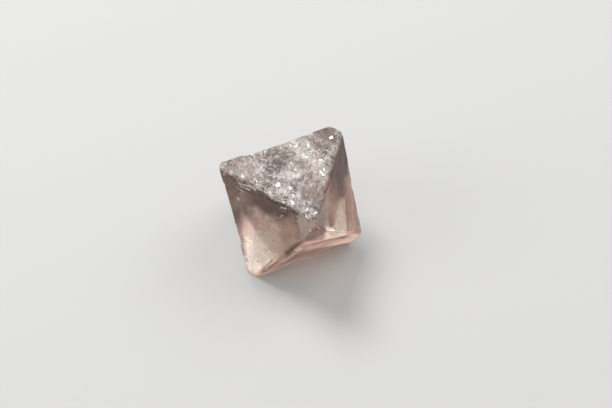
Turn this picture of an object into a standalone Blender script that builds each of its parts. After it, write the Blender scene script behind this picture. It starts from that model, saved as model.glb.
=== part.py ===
"""A loose cleavage octahedron of fluorite, resting on one of its eight faces.

Fluorite splits along four sets of planes, which meet in an octahedron. A stone split by hand is
never perfect: its faces lie at slightly different distances from the centre, so that corners end
in short edges, and the knife leaves ledges, scooped chips along the edges, small three-cornered
pits and rough, hackly bands across the top.

Units are metres, +Z is up and -Y is the front. The base face lies on Z = 0.
"""

import math
import random

import bmesh
import bpy
from mathutils import Matrix, Vector

# ---------------------------------------------------------------- driving dimensions
EDGE = 0.022  # nominal edge of the octahedron
INRADIUS = EDGE * math.sqrt(6) / 6  # centre to face of a perfect octahedron of that edge
SEED = 41

# Each cleavage face: compass heading of its outward normal, lean of that normal above the horizon
# (both in degrees), and its distance from the centre in inradii.
FACES = {
    "top": (128.3, 87.1, 0.992),
    "base": (0.0, -90.0, 1.041),
    "left": (-127.3, 15.5, 0.945),
    "right": (-13.1, 21.8, 1.059),
    "back": (112.9, 19.3, 1.039),
    "front_under": (-66.1, -19.4, 0.999),
    "left_under": (171.0, -18.7, 1.018),
    "right_under": (51.2, -22.2, 0.907),
}

# Ledges: strips that split off beside an edge, each one step below the face.
# (face, neighbour, depth below the face, width on the face, start and end along the edge, pieces)
LEDGES = (
    ("left", "front_under", 0.00016, 0.00230, 0.34, 0.58, 1),
    ("left", "front_under", 0.00026, 0.00160, 0.26, 0.66, 1),
    ("left", "front_under", 0.00040, 0.00100, 0.18, 0.73, 2),
    ("left", "front_under", 0.00056, 0.00055, 0.30, 0.86, 3),
    ("front_under", "left", 0.00022, 0.00070, 0.10, 0.44, 1),
    ("front_under", "base", 0.00020, 0.00095, 0.20, 0.62, 2),
    ("front_under", "base", 0.00036, 0.00050, 0.52, 0.80, 1),
    ("top", "left", 0.00012, 0.00130, 0.06, 0.34, 3),
    ("top", "left", 0.00022, 0.00070, 0.16, 0.52, 4),
    ("top", "left", 0.00018, 0.00100, 0.60, 0.92, 4),
    ("left", "top", 0.00020, 0.00120, 0.26, 0.50, 3),
    ("left", "top", 0.00030, 0.00080, 0.66, 0.88, 2),
    ("top", "right", 0.00016, 0.00090, 0.16, 0.44, 4),
    ("top", "right", 0.00026, 0.00055, 0.34, 0.78, 6),
    ("right", "top", 0.00016, 0.00060, 0.30, 0.60, 4),
    ("top", "back", 0.00018, 0.00120, 0.30, 0.66, 5),
    ("back", "top", 0.00020, 0.00240, 0.48, 0.82, 2),
    ("back", "top", 0.00034, 0.00130, 0.20, 0.66, 2),
    ("back", "right_under", 0.00030, 0.00150, 0.12, 0.60, 2),
    ("right_under", "back", 0.00020, 0.00260, 0.40, 0.78, 1),
    ("right_under", "right", 0.00024, 0.00140, 0.30, 0.84, 3),
    ("left_under", "left", 0.00028, 0.00150, 0.15, 0.72, 3),
    ("left_under", "back", 0.00018, 0.00300, 0.34, 0.76, 1),
    ("left_under", "back", 0.00036, 0.00140, 0.22, 0.58, 2),
)
LEDGE_WIDTH_SPREAD = (0.70, 1.15)
LEDGE_DEPTH_SPREAD = (0.85, 1.10)
LEDGE_END_TURN = (20, 50)  # how far a ledge's ends turn from square, in degrees
LEDGE_WAVER = 1.5  # the most that a ledge strays from its edge's direction, in degrees
LEDGE_LAP = 0.0001  # by which the pieces of a ledge overlap

# Scooped chips: (face, neighbour, place along the edge, length, depth, share that lies on the face)
SCOOPS = (
    ("left", "top", 0.20, 0.0034, 0.00050, 0.78),
    ("left", "top", 0.45, 0.0026, 0.00048, 0.70),
    ("left", "top", 0.63, 0.0036, 0.00055, 0.72),
    ("left", "top", 0.84, 0.0022, 0.00034, 0.60),
    ("top", "right", 0.45, 0.0020, 0.00036, 0.55),
    ("top", "back", 0.80, 0.0024, 0.00040, 0.60),
    ("front_under", "base", 0.30, 0.0030, 0.00045, 0.60),
    ("right", "right_under", 0.52, 0.0032, 0.00045, 0.55),
    ("left", "left_under", 0.66, 0.0026, 0.00036, 0.50),
    ("back", "left_under", 0.35, 0.0038, 0.00060, 0.60),
    ("back", "right_under", 0.72, 0.0030, 0.00050, 0.55),
)
SCOOP_ROUNDNESS = 0.42  # a scoop's radius across the edge, over its length
SCOOP_TURN = 7  # the most that a scoop turns from the edge's direction, in degrees
NICK_SPACING = 0.0021  # small chips along every edge, about this far apart
NICK_PLACE = (0.1, 0.9)  # where a nick may lie within its own stretch of edge
NICK_LENGTH = (0.0006, 0.0019)
NICK_DEPTH = (0.00007, 0.00020)
NICK_ROUNDNESS = 0.40
NICK_TURN = 30
NICK_SHARE = (0.2, 0.8)  # how much of a nick lies on one of its two faces

# Shells: wide and very shallow hollows where a thin flake sprang off.
SHELLS = {"top": 22, "left": 5, "right": 4, "back": 7, "left_under": 5, "right_under": 5}
SHELL_RADIUS = (0.00060, 0.00210)
SHELL_DEPTH = (0.00003, 0.00009)
SHELL_RISE = 4  # the ball's half height, in depths
SHELL_BREADTH = (0.5, 0.9)  # its breadth over its length
FACE_SHARE = 0.88  # the middle part of a face that its shells and pits keep to

# Three-cornered pits: how many lie on each face, and their sizes.
PITS = {
    "top": 46,
    "left": 9,
    "right": 8,
    "back": 16,
    "front_under": 7,
    "left_under": 12,
    "right_under": 10,
    "base": 6,
}
PIT_RADIUS = (0.00016, 0.00050)
PIT_DEPTH_SHARE = 0.38  # of its radius
PIT_OVERSHOOT = 0.00025  # how far the pyramid that cuts a pit stands out of the face

# Rough, hackly bands: (start, end, width, bites). A place is (face, neighbour, share of their edge).
HACKLE_BANDS = (
    (("top", "back", 0.58), ("top", "right", 0.56), 0.0036, 84),
    (("top", "left", 0.60), ("top", "left", 0.88), 0.0030, 30),
    (("top", "back", 0.30), ("top", "left", 0.55), 0.0040, 22),
)
BITE_PLACE = (0.02, 0.98)  # shares of the band's length between which its bites lie
BITE_SCATTER = 0.25  # how far bites stray across the band, as a standard deviation over its width
BITE_RADIUS = (0.00022, 0.00062)
BITE_DEPTH = (0.00008, 0.00026)
BITE_TILT = 0.5  # the most that a bite leans each way, in radians

CORNER_WEAR = (0.00016, 0.00040)  # how much is worn off the corners
EDGE_WEAR = 0.00012  # width of the worn strip beside each edge

STOCK = 3 * EDGE  # side of the rough cube that everything is split from
OVERSHOOT = 0.001  # how far a cutter stands out of the stone
NEARLY_FLAT = 0.1  # below this slope, as a sine, a face has no clear level direction
ON_PLANE = 1e-6  # a point this near a plane lies on it

FLUORITE_COLOUR = (0.80, 0.62, 0.58, 1.0)
FLUORITE_IOR = 1.434
FLUORITE_CLEARNESS = 0.8  # share of the light that passes into the stone
FLUORITE_ROUGHNESS = 0.15


# ---------------------------------------------------------------- splitting
def heading_vector(compass, lean):
    """The unit vector with this compass heading and lean, in degrees."""
    compass, lean = math.radians(compass), math.radians(lean)
    flat = math.cos(lean)
    return Vector((math.cos(compass) * flat, math.sin(compass) * flat, math.sin(lean)))


NORMALS = {name: heading_vector(face[0], face[1]) for name, face in FACES.items()}
REACH = {name: face[2] * INRADIUS for name, face in FACES.items()}


def split_off(mesh, normal, distance):
    """Removes what lies beyond the plane normal . x = distance, and closes the cut."""
    cut = bmesh.ops.bisect_plane(
        mesh,
        geom=mesh.verts[:] + mesh.edges[:] + mesh.faces[:],
        plane_co=normal * distance,
        plane_no=normal,
        clear_outer=True,
    )
    rim = [part for part in cut["geom_cut"] if isinstance(part, bmesh.types.BMEdge)]
    if rim:
        bmesh.ops.edgeloop_fill(mesh, edges=rim)


def cleaved_block(planes, centre=Vector()):
    """A convex block: a rough cube round centre, split along every (normal, distance) in planes."""
    block = bmesh.new()
    bmesh.ops.create_cube(block, size=STOCK, matrix=Matrix.Translation(centre))
    for normal, distance in planes:
        split_off(block, normal, distance)
    bmesh.ops.recalc_face_normals(block, faces=block.faces[:])
    return block


# ---------------------------------------------------------------- places on the stone
def stone_block():
    """The stone as split: eight flat faces."""
    return cleaved_block([(NORMALS[name], REACH[name]) for name in FACES])


def worn_block(stone, rng):
    """The same stone with its corners and edges rubbed slightly round."""
    planes = [(NORMALS[name], REACH[name]) for name in FACES]
    for corner in stone.verts:
        outward = sum((face.normal for face in corner.link_faces), Vector()).normalized()
        planes.append((outward, outward.dot(corner.co) - rng.uniform(*CORNER_WEAR)))
    worn = cleaved_block(planes)
    bmesh.ops.bevel(
        worn,
        geom=worn.edges[:],
        offset=EDGE_WEAR,
        segments=1,
        profile=0.5,
        affect="EDGES",
        material=-1,
    )
    return worn


def on_face(point, name):
    """True if a point lies on the plane of a face."""
    return abs(NORMALS[name].dot(point) - REACH[name]) < ON_PLANE


def edge_ends(stone, face, neighbour):
    """The two ends of the edge between two faces, the one with the smaller X first."""
    for edge in stone.edges:
        ends = [vert.co.copy() for vert in edge.verts]
        if all(on_face(end, face) and on_face(end, neighbour) for end in ends):
            return sorted(ends, key=lambda end: end.x)
    raise ValueError(f"{face} and {neighbour} share no edge")


def place_on_edge(stone, face, neighbour, share):
    """The point this share of the way along the edge between two faces."""
    first, last = edge_ends(stone, face, neighbour)
    return first.lerp(last, share)


def face_corners(stone, name):
    """The corners of one face of the stone."""
    normal = NORMALS[name]
    face = max(stone.faces, key=lambda found: found.normal.dot(normal))
    return [vert.co.copy() for vert in face.verts]


def face_axes(name):
    """Two unit vectors that span a face: the first is level, or near +X on a face that is nearly flat."""
    normal = NORMALS[name]
    level = Vector((0, 0, 1)).cross(normal)
    if level.length < NEARLY_FLAT:
        level = Vector((1, 0, 0)) - normal * normal.x
    level.normalize()
    return level, normal.cross(level)


def inside(point, corners):
    """True if the point of the face's plane lies inside the convex polygon."""
    normal = (corners[1] - corners[0]).cross(corners[2] - corners[1])
    pairs = zip(corners, corners[1:] + corners[:1])
    return all((b - a).cross(point - a).dot(normal) >= 0 for a, b in pairs)


def random_spot(corners, name, rng):
    """A random point in the middle part of the face with these corners."""
    middle = sum(corners, Vector()) / len(corners)
    rim = [middle + (corner - middle) * FACE_SHARE for corner in corners]
    half = max((corner - middle).length for corner in rim)
    level, climb = face_axes(name)
    while True:
        spot = middle + level * rng.uniform(-half, half) + climb * rng.uniform(-half, half)
        if inside(spot, rim):
            return spot


# ---------------------------------------------------------------- cutters
def turned(vector, degrees, axis):
    """The vector turned about an axis."""
    return Matrix.Rotation(math.radians(degrees), 3, axis) @ vector


def ledge_cutters(stone, rng):
    """Strips beside an edge, whose treads and risers are cleavage planes too."""
    cutters = []
    for face, neighbour, depth, width, start, end, pieces in LEDGES:
        first, last = edge_ends(stone, face, neighbour)
        along = (last - first).normalized()
        length = (last - first).length
        across = NORMALS[neighbour] - NORMALS[face] * NORMALS[neighbour].dot(NORMALS[face])
        rise = across.length  # depth along the neighbour's normal, for each metre of width
        stations = [start + (end - start) * i / pieces for i in range(pieces + 1)]
        for low, high in zip(stations, stations[1:]):
            own_width = width * rng.uniform(*LEDGE_WIDTH_SPREAD)
            own_depth = depth * rng.uniform(*LEDGE_DEPTH_SPREAD)
            turns = [rng.choice((-1, 1)) * rng.uniform(*LEDGE_END_TURN) for _ in range(2)]
            low_side, high_side = (turned(along, turn, NORMALS[face]) for turn in turns)
            low_point = first + along * (length * low - LEDGE_LAP)
            high_point = first + along * (length * high + LEDGE_LAP)
            waver = rng.uniform(-LEDGE_WAVER, LEDGE_WAVER)
            riser = turned(NORMALS[neighbour], waver, NORMALS[face])
            riser_reach = riser.dot((low_point + high_point) / 2)
            planes = [
                (-NORMALS[face], own_depth - REACH[face]),
                (-riser, own_width * rise - riser_reach),
                (NORMALS[face], REACH[face] + OVERSHOOT),
                (NORMALS[neighbour], REACH[neighbour] + OVERSHOOT),
                (-low_side, -low_side.dot(low_point)),
                (high_side, high_side.dot(high_point)),
            ]
            cutters.append(cleaved_block(planes, (low_point + high_point) / 2))
    return cutters


def scoop(centre, along, outward, length, depth, roundness):
    """A faceted ellipsoid that bites depth deep into an edge at centre."""
    ball = bmesh.new()
    bmesh.ops.create_icosphere(ball, subdivisions=2, radius=1.0)
    out = (outward - along * outward.dot(along)).normalized()
    frame = Matrix((along, out.cross(along), out)).transposed().to_4x4()
    size = Matrix.Diagonal((length / 2, length * roundness, length * roundness, 1))
    place = Matrix.Translation(centre + out * (length * roundness - depth))
    bmesh.ops.transform(ball, matrix=place @ frame @ size, verts=ball.verts[:])
    return ball


def chip_cutters(stone, rng):
    """The large scooped chips, and small nicks along every edge."""
    cutters = []
    for face, neighbour, place, length, depth, share in SCOOPS:
        first, last = edge_ends(stone, face, neighbour)
        outward = NORMALS[face] * share + NORMALS[neighbour] * (1 - share)
        along = (last - first).normalized()
        run = turned(along, rng.uniform(-SCOOP_TURN, SCOOP_TURN), outward)
        spot = first.lerp(last, place)
        cutters.append(scoop(spot, run, outward, length, depth, SCOOP_ROUNDNESS))
    for edge in stone.edges:
        first, last = (vert.co for vert in edge.verts)
        along = (last - first).normalized()
        count = max(1, round((last - first).length / NICK_SPACING))
        for i in range(count):
            share = rng.uniform(*NICK_SHARE)
            normals = [face.normal for face in edge.link_faces]
            outward = normals[0] * share + normals[1] * (1 - share)
            run = turned(along, rng.uniform(-NICK_TURN, NICK_TURN), outward)
            spot = first.lerp(last, (i + rng.uniform(*NICK_PLACE)) / count)
            length = rng.uniform(*NICK_LENGTH)
            depth = rng.uniform(*NICK_DEPTH)
            cutters.append(scoop(spot, run, outward, length, depth, NICK_ROUNDNESS))
    return cutters


def shell_cutters(stone, rng):
    """Flattened balls that dip into the faces."""
    cutters = []
    for name, count in SHELLS.items():
        corners = face_corners(stone, name)
        level, climb = face_axes(name)
        for _ in range(count):
            radius = rng.uniform(*SHELL_RADIUS)
            depth = rng.uniform(*SHELL_DEPTH)
            spot = random_spot(corners, name, rng) - NORMALS[name] * depth
            ball = bmesh.new()
            bmesh.ops.create_icosphere(ball, subdivisions=2, radius=1.0)
            frame = Matrix((level, climb, NORMALS[name])).transposed().to_4x4()
            spin = Matrix.Rotation(rng.uniform(0, math.tau), 4, "Z")
            size = Matrix.Diagonal((radius, radius * rng.uniform(*SHELL_BREADTH), SHELL_RISE * depth, 1))
            lift = Matrix.Translation((0, 0, SHELL_RISE * depth))
            place = Matrix.Translation(spot) @ frame @ spin @ lift @ size
            bmesh.ops.transform(ball, matrix=place, verts=ball.verts[:])
            cutters.append(ball)
    return cutters


def pit(centre, name, radius, depth, turn, tilt=(0.0, 0.0)):
    """A three-cornered pyramid standing point down in a face."""
    normal = NORMALS[name]
    level, climb = face_axes(name)
    cone = bmesh.new()
    grow = (depth + PIT_OVERSHOOT) / depth  # the pyramid carries on above the face
    bmesh.ops.create_cone(
        cone,
        cap_ends=True,
        segments=3,
        radius1=0.0,
        radius2=radius * grow,
        depth=depth * grow,
    )
    frame = Matrix((level, climb, normal)).transposed().to_4x4()
    lean = Matrix.Rotation(tilt[0], 4, "X") @ Matrix.Rotation(tilt[1], 4, "Y")
    spin = Matrix.Rotation(turn, 4, "Z")
    lift = Matrix.Translation((0, 0, depth * grow / 2 - depth))
    place = Matrix.Translation(centre) @ frame @ lean @ spin @ lift
    bmesh.ops.transform(cone, matrix=place, verts=cone.verts[:])
    return cone


def pit_cutters(stone, rng):
    """Etch pits, all turned the same way on a face, as the crystal's lattice turns them."""
    cutters = []
    for name, count in PITS.items():
        corners = face_corners(stone, name)
        turn = rng.uniform(0, math.tau)
        for _ in range(count):
            radius = PIT_RADIUS[0] + (PIT_RADIUS[1] - PIT_RADIUS[0]) * rng.random() ** 2
            spot = random_spot(corners, name, rng)
            cutters.append(pit(spot, name, radius, radius * PIT_DEPTH_SHARE, turn))
    return cutters


def hackle_cutters(stone, rng):
    """Overlapping tilted bites that leave rough bands across the top face."""
    cutters = []
    for *places, width, bites in HACKLE_BANDS:
        start, end = (place_on_edge(stone, *place) for place in places)
        across = NORMALS["top"].cross(end - start).normalized()
        for _ in range(bites):
            along_band = start.lerp(end, rng.uniform(*BITE_PLACE))
            spot = along_band + across * rng.gauss(0, width * BITE_SCATTER)
            radius = rng.uniform(*BITE_RADIUS)
            depth = rng.uniform(*BITE_DEPTH)
            tilt = (rng.uniform(-BITE_TILT, BITE_TILT), rng.uniform(-BITE_TILT, BITE_TILT))
            cutters.append(pit(spot, "top", radius, depth, rng.uniform(0, math.tau), tilt))
    return cutters


# ---------------------------------------------------------------- the scene
def clear_scene():
    """Removes every object that is there at the start."""
    for found in list(bpy.data.objects):
        bpy.data.objects.remove(found)


def new_collection(name, parent):
    """A collection under another one."""
    made = bpy.data.collections.new(name)
    parent.children.link(made)
    return made


def new_object(name, shape, collection, parent):
    """An object of a bmesh's shape, under parent. The bmesh is freed."""
    mesh = bpy.data.meshes.new(name)
    shape.to_mesh(mesh)
    shape.free()
    made = bpy.data.objects.new(name, mesh)
    made.parent = parent
    collection.objects.link(made)
    return made


def fluorite_material():
    """Tinted, slightly frosted fluorite."""
    material = bpy.data.materials.new("fluorite")
    material.use_nodes = True
    shader = material.node_tree.nodes["Principled BSDF"]
    shader.inputs["Base Color"].default_value = FLUORITE_COLOUR
    shader.inputs["Metallic"].default_value = 0.0
    shader.inputs["Roughness"].default_value = FLUORITE_ROUGHNESS
    shader.inputs["IOR"].default_value = FLUORITE_IOR
    shader.inputs["Transmission Weight"].default_value = FLUORITE_CLEARNESS
    material.diffuse_color = FLUORITE_COLOUR
    return material


def cut(crystal, name, shapes, cutters, parent):
    """Takes all of these shapes out of the crystal with one Boolean modifier."""
    group = new_collection(name, cutters)
    for shape in shapes:
        cutter = new_object(name, shape, group, parent)
        cutter.hide_render = True
        cutter.display_type = "WIRE"
    boolean = crystal.modifiers.new(name, "BOOLEAN")
    boolean.operation = "DIFFERENCE"
    boolean.solver = "MANIFOLD"  # EXACT leaves holes where so many small cutters overlap
    boolean.operand_type = "COLLECTION"
    boolean.collection = group


def island_of(seed):
    """Every face that can be reached from seed by crossing edges that join just two faces."""
    found = {seed}
    waiting = [seed]
    while waiting:
        crossed = [edge for edge in waiting.pop().edges if len(edge.link_faces) == 2]
        for face in (face for edge in crossed for face in edge.link_faces):
            if face not in found:
                found.add(face)
                waiting.append(face)
    return found


def settle(crystal, cutters):
    """Makes the cuts part of the crystal's own mesh, and drops the loose flakes that they leave."""
    bpy.context.view_layer.update()
    graph = bpy.context.evaluated_depsgraph_get()
    split = bpy.data.meshes.new_from_object(crystal.evaluated_get(graph))
    crystal.modifiers.clear()
    crystal.data = split
    shape = bmesh.new()
    shape.from_mesh(split)
    left = set(shape.faces)
    stone = set()
    while left:
        island = island_of(next(iter(left)))
        left -= island
        stone = max(stone, island, key=len)
    flakes = [face for face in shape.faces if face not in stone]
    bmesh.ops.delete(shape, geom=flakes, context="FACES")
    shape.to_mesh(split)
    shape.free()
    for cutter in list(cutters.all_objects):
        bpy.data.objects.remove(cutter)


def rest_on_origin(crystal, carrier):
    """Moves the carrier so that the base is at Z = 0 and the crystal's box is centred over the origin."""
    points = [vert.co for vert in crystal.data.vertices]
    middle_x, middle_y = (
        (min(point[axis] for point in points) + max(point[axis] for point in points)) / 2
        for axis in range(2)
    )
    carrier.location = (-middle_x, -middle_y, -min(point.z for point in points))


def main():
    """Splits the stone, cuts its ledges and chips, and rests it on its base."""
    clear_scene()
    rng = random.Random(SEED)
    parts = new_collection("fluorite octahedron", bpy.context.scene.collection)
    cutters = new_collection("cutters", bpy.context.scene.collection)
    carrier = bpy.data.objects.new("crystal_centre", None)
    parts.objects.link(carrier)
    stone = stone_block()
    cuts = {
        "ledges": ledge_cutters(stone, rng),
        "shells": shell_cutters(stone, rng),
        "chips": chip_cutters(stone, rng),
        "pits": pit_cutters(stone, rng),
        "hackles": hackle_cutters(stone, rng),
    }
    crystal = new_object("fluorite_octahedron", worn_block(stone, rng), parts, carrier)
    stone.free()
    for name, shapes in cuts.items():
        cut(crystal, name, shapes, cutters, carrier)
    settle(crystal, cutters)
    crystal.data.materials.clear()
    crystal.data.materials.append(fluorite_material())
    rest_on_origin(crystal, carrier)


main()
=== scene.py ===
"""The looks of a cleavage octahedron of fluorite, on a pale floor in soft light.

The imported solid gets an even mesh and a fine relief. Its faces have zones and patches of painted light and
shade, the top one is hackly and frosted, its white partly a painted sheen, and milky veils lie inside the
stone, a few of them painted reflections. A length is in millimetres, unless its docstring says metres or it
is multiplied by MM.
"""

import logging
import math
from dataclasses import dataclass
from enum import Enum
from functools import reduce
from typing import ClassVar

import bmesh
import bpy
from mathutils import Matrix, Vector, noise


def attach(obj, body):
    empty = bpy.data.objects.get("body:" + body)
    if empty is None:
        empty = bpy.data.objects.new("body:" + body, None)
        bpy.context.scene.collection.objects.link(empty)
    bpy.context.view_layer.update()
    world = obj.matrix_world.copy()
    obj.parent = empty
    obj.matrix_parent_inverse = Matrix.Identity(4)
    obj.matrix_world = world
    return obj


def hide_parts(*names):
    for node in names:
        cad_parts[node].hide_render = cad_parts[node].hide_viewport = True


log = logging.getLogger("fluorite")
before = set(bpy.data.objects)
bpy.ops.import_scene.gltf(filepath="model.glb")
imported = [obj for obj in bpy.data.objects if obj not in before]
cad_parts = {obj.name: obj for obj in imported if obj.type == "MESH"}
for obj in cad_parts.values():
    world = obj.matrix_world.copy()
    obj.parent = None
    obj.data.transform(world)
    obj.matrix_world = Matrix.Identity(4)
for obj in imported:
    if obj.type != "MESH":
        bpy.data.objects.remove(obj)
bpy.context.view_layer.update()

MM = 0.001
NODE = "fluorite_octahedron"

EDGE = 22.0 * MM
INRADIUS = EDGE * math.sqrt(6) / 6
CENTRE = Vector((-0.043, 0.035, 9.350)) * MM
FLUORITE_IOR = 1.434

Spot = tuple[float, float]  # a place on the top face, seen from above
Place = tuple[float, float, float]
Colour = tuple[float, float, float, float]  # linear, with alpha
Span = tuple[float, ...]  # where something starts and ends to rise, and from what to what if not 0 to 1
Grain = tuple[float, ...]  # a noise's size, its detail and how far it is warped
Waves = tuple[tuple[float, float], ...]  # the pace and the height of each noise in a sum
Socket = bpy.types.NodeSocket
Sockets = bpy.types.NodeOutputs
Value = Socket | Vector | tuple | float


# ---------------------------------------------------------------- directions
def heading(compass: float, lean: float) -> Vector:
    """Turns a compass heading and a lean above the horizon into a unit vector.

    Args:
        compass: Degrees from +X, counter-clockwise seen from above.
        lean: Degrees above the horizon.

    Returns:
        The unit vector.
    """
    flat = math.cos(math.radians(lean))
    turn = math.radians(compass)
    return Vector((math.cos(turn) * flat, math.sin(turn) * flat, math.sin(math.radians(lean))))


class Face(Enum):
    """The eight cleavage faces: heading and lean of the normal, and reach in inradii."""

    TOP = (128.3, 87.1, 0.992)
    BASE = (0.0, -90.0, 1.041)
    LEFT = (-127.3, 15.5, 0.945)
    RIGHT = (-13.1, 21.8, 1.059)
    BACK = (112.9, 19.3, 1.039)
    FRONT_UNDER = (-66.1, -19.4, 0.999)
    LEFT_UNDER = (171.0, -18.7, 1.018)
    RIGHT_UNDER = (51.2, -22.2, 0.907)

    @property
    def normal(self) -> Vector:
        """The face's outward unit normal."""
        return heading(self.value[0], self.value[1])

    @property
    def reach(self) -> float:
        """The face's distance from the crystal's centre, in metres."""
        return self.value[2] * INRADIUS

    def under(self, point: Vector) -> float:
        """How deep a point lies under this face, both in metres."""
        return self.reach - self.normal.dot(point - CENTRE)


# How the top face's edges with the left and the right face run, and the scratches on the left face.
LEFT_EDGE = Vector((16.5, -12.2, 1.0))
RIGHT_EDGE = Vector((4.8, 19.6, -0.6))
SCRATCHES = Vector((-10.3, -2.0, 18.8)).cross(Face.LEFT.normal)


def smooth(low: float, high: float, value: float) -> float:
    """Rises smoothly from 0 at low to 1 at high.

    Args:
        low: Where the rise starts.
        high: Where it ends. It may be less than low, for a fall.
        value: The number to look up.

    Returns:
        A number from 0 to 1.
    """
    share = min(max((value - low) / (high - low), 0.0), 1.0)
    return share * share * (3 - 2 * share)


def ripple(spot: Vector, waves: Waves, seed: Place = (0.0, 0.0, 0.0)) -> float:
    """Sums noises at a point, each from minus to plus its height.

    Args:
        spot: The point.
        waves: The noises.
        seed: What sets this sum apart from another one.

    Returns:
        The sum.
    """
    return sum(height * noise.noise(spot * pace + Vector(seed)) for pace, height in waves)


def in_plan(point: Vector, axes: tuple[Spot, Spot], seed: float) -> Vector:
    """Finds a point's place along two axes that lie level.

    Args:
        point: The point.
        axes: The axes, seen from above.
        seed: The third part of what is returned.

    Returns:
        The place along each axis, and the seed.
    """
    across, along = [point.x * axis[0] + point.y * axis[1] for axis in axes]
    return Vector((across, along, seed))


def new_object(name: str, data: bpy.types.ID) -> bpy.types.Object:
    """Links a new object to the scene.

    Args:
        name: The object's name.
        data: Its mesh, light or camera.

    Returns:
        The object, at the origin.
    """
    made = bpy.data.objects.new(name, data)
    bpy.context.scene.collection.objects.link(made)
    return made


def new_mesh(name: str, shape: bmesh.types.BMesh) -> bpy.types.Mesh:
    """Turns a finished bmesh into a mesh.

    Args:
        name: The mesh's name.
        shape: The bmesh, which is freed.

    Returns:
        The mesh.
    """
    mesh = bpy.data.meshes.new(name)
    shape.to_mesh(mesh)
    shape.free()
    return mesh


class Tone(Enum):
    """The stone's colours, and the light and shade painted on it, as linear red, green and blue."""

    PALE = (0.97, 0.86, 0.80)
    PINK = (1.0, 0.70, 0.61)
    CREAM = (1.0, 0.94, 0.86)
    OLIVE = (0.46, 0.34, 0.26)
    DRAB = (0.17, 0.11, 0.075)
    ASH = (0.55, 0.47, 0.42)
    BROWN = (0.062, 0.030, 0.022)
    ROSE = (0.60, 0.29, 0.225)
    PEACH = (0.90, 0.62, 0.49)
    UMBER = (0.050, 0.016, 0.011)
    BLUSH = (0.60, 0.335, 0.27)
    WINE = (0.26, 0.115, 0.09)
    WHITE = (1.0, 0.97, 0.92)
    IVORY = (1.0, 0.91, 0.75)
    BUTTER = (1.0, 0.85, 0.66)
    PETAL = (1.0, 0.80, 0.72)
    GREY = (0.50, 0.43, 0.385)
    RUSSET = (0.36, 0.20, 0.165)
    COCOA = (0.26, 0.135, 0.10)
    CLARET = (0.20, 0.09, 0.07)
    DUSK = (0.13, 0.062, 0.045)
    PLUM = (0.07, 0.025, 0.018)
    SOOT = (0.032, 0.012, 0.009)
    FROST = (1.0, 0.97, 0.96)
    SHADE = (0.150, 0.116, 0.098)
    MIST = (0.74, 0.69, 0.62)
    SAND = (0.34, 0.255, 0.205)
    BRONZE = (0.21, 0.145, 0.11)
    SMOKE = (0.165, 0.150, 0.140)
    SPECK = (0.07, 0.05, 0.045)

    @property
    def rgba(self) -> Colour:
        """The colour with full alpha."""
        return (*self.value, 1.0)


# ---------------------------------------------------------------- marks on the faces, with painted light and painted shade
@dataclass(frozen=True)
class HackleBand:
    """A rough band across the top face, between two spots."""

    start: Spot
    end: Spot
    width: float
    strength: float
    CORE: ClassVar[float] = 0.25
    RAGGED: ClassVar[Waves] = ((0.9, 0.5),)

    def share(self, point: Vector) -> float:
        """How rough the band makes the top face at a point.

        Args:
            point: The point, in millimetres.

        Returns:
            A number from 0 to the band's strength.
        """
        low, high = Vector(self.start), Vector(self.end)
        along = high - low
        place = min(max((point.xy - low).dot(along) / along.length_squared, 0.0), 1.0)
        away = (point.xy - (low + along * place)).length
        outer = self.width * (1.0 + ripple(point, self.RAGGED))
        return self.strength * smooth(outer, self.width * self.CORE, away)


HACKLE_BANDS = (
    HackleBand((-1.0, 7.4), (6.2, -1.0), 2.5, 1.0),
    HackleBand((-0.6, -4.2), (2.0, -7.2), 1.7, 0.8),
    HackleBand((-6.4, 4.2), (-4.4, -1.4), 1.5, 0.45),
    HackleBand((-3.4, 1.5), (2.0, -3.4), 2.6, 0.5),
)


@dataclass(frozen=True)
class CalmPatch:
    """A round patch of the top face that split clean, with how white it is from 0 to 1: a painted reflection
    where light, painted shade where dark.
    """

    centre: Spot
    radius: float
    whiteness: float
    CORE: ClassVar[float] = 0.55
    RAGGED: ClassVar[Waves] = ((0.8, 0.8),)

    def share(self, point: Vector) -> float:
        """How calm the surface is at a point in millimetres, from 0 to 1."""
        away = (point.xy - Vector(self.centre)).length + ripple(point, self.RAGGED)
        return smooth(self.radius, self.radius * self.CORE, away)


CALM_PATCHES = (
    CalmPatch((-8.7, 1.1), 2.2, 0.36),
    CalmPatch((5.9, 8.3), 2.9, 0.10),
    CalmPatch((3.7, -5.7), 2.2, 0.34),
    CalmPatch((-2.6, 1.9), 1.5, 0.08),
    CalmPatch((-4.3, -1.4), 1.3, 0.12),
)


@dataclass(frozen=True)
class Glint:
    """A small flat on the top face that is tilted so that it shines."""

    centre: Spot
    radius: float
    SLOPE: ClassVar[Vector] = Vector((0.168, 0.090))

    def depth(self, point: Vector) -> float:
        """How deep the flat lies at a point, both in millimetres. It is negative where the flat stands up."""
        return self.SLOPE.dot(Vector(self.centre) - point.xy)

    def holds(self, point: Vector) -> bool:
        """Tells whether a point in millimetres lies on the flat."""
        return (point.xy - Vector(self.centre)).length < self.radius


GLINTS = (
    Glint((-2.3, -2.7), 0.46),
    Glint((6.8, 7.6), 0.40),
    Glint((4.1, -8.9), 0.28),
    Glint((4.9, 2.4), 0.36),
    Glint((2.2, 5.2), 0.32),
    Glint((5.6, 0.4), 0.34),
    Glint((-6.3, -0.4), 0.30),
    Glint((0.3, 6.9), 0.34),
)


@dataclass(frozen=True)
class Cloud:
    """A round, milky cloud just under the top face, with how white it is from 0 to 1."""

    centre: Spot
    radius: float
    whiteness: float


CLOUDS = (
    Cloud((0.6, -0.5), 2.2, 0.95),
    Cloud((-1.5, -3.9), 2.0, 0.95),
    Cloud((1.4, 6.0), 2.9, 0.92),
    Cloud((-1.2, 6.8), 1.7, 0.80),
    Cloud((4.6, 2.2), 2.0, 0.90),
    Cloud((-5.6, 0.4), 1.5, 0.70),
    Cloud((0.9, -6.9), 1.5, 0.60),
    Cloud((-3.6, 4.4), 1.8, 0.62),
)


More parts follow.
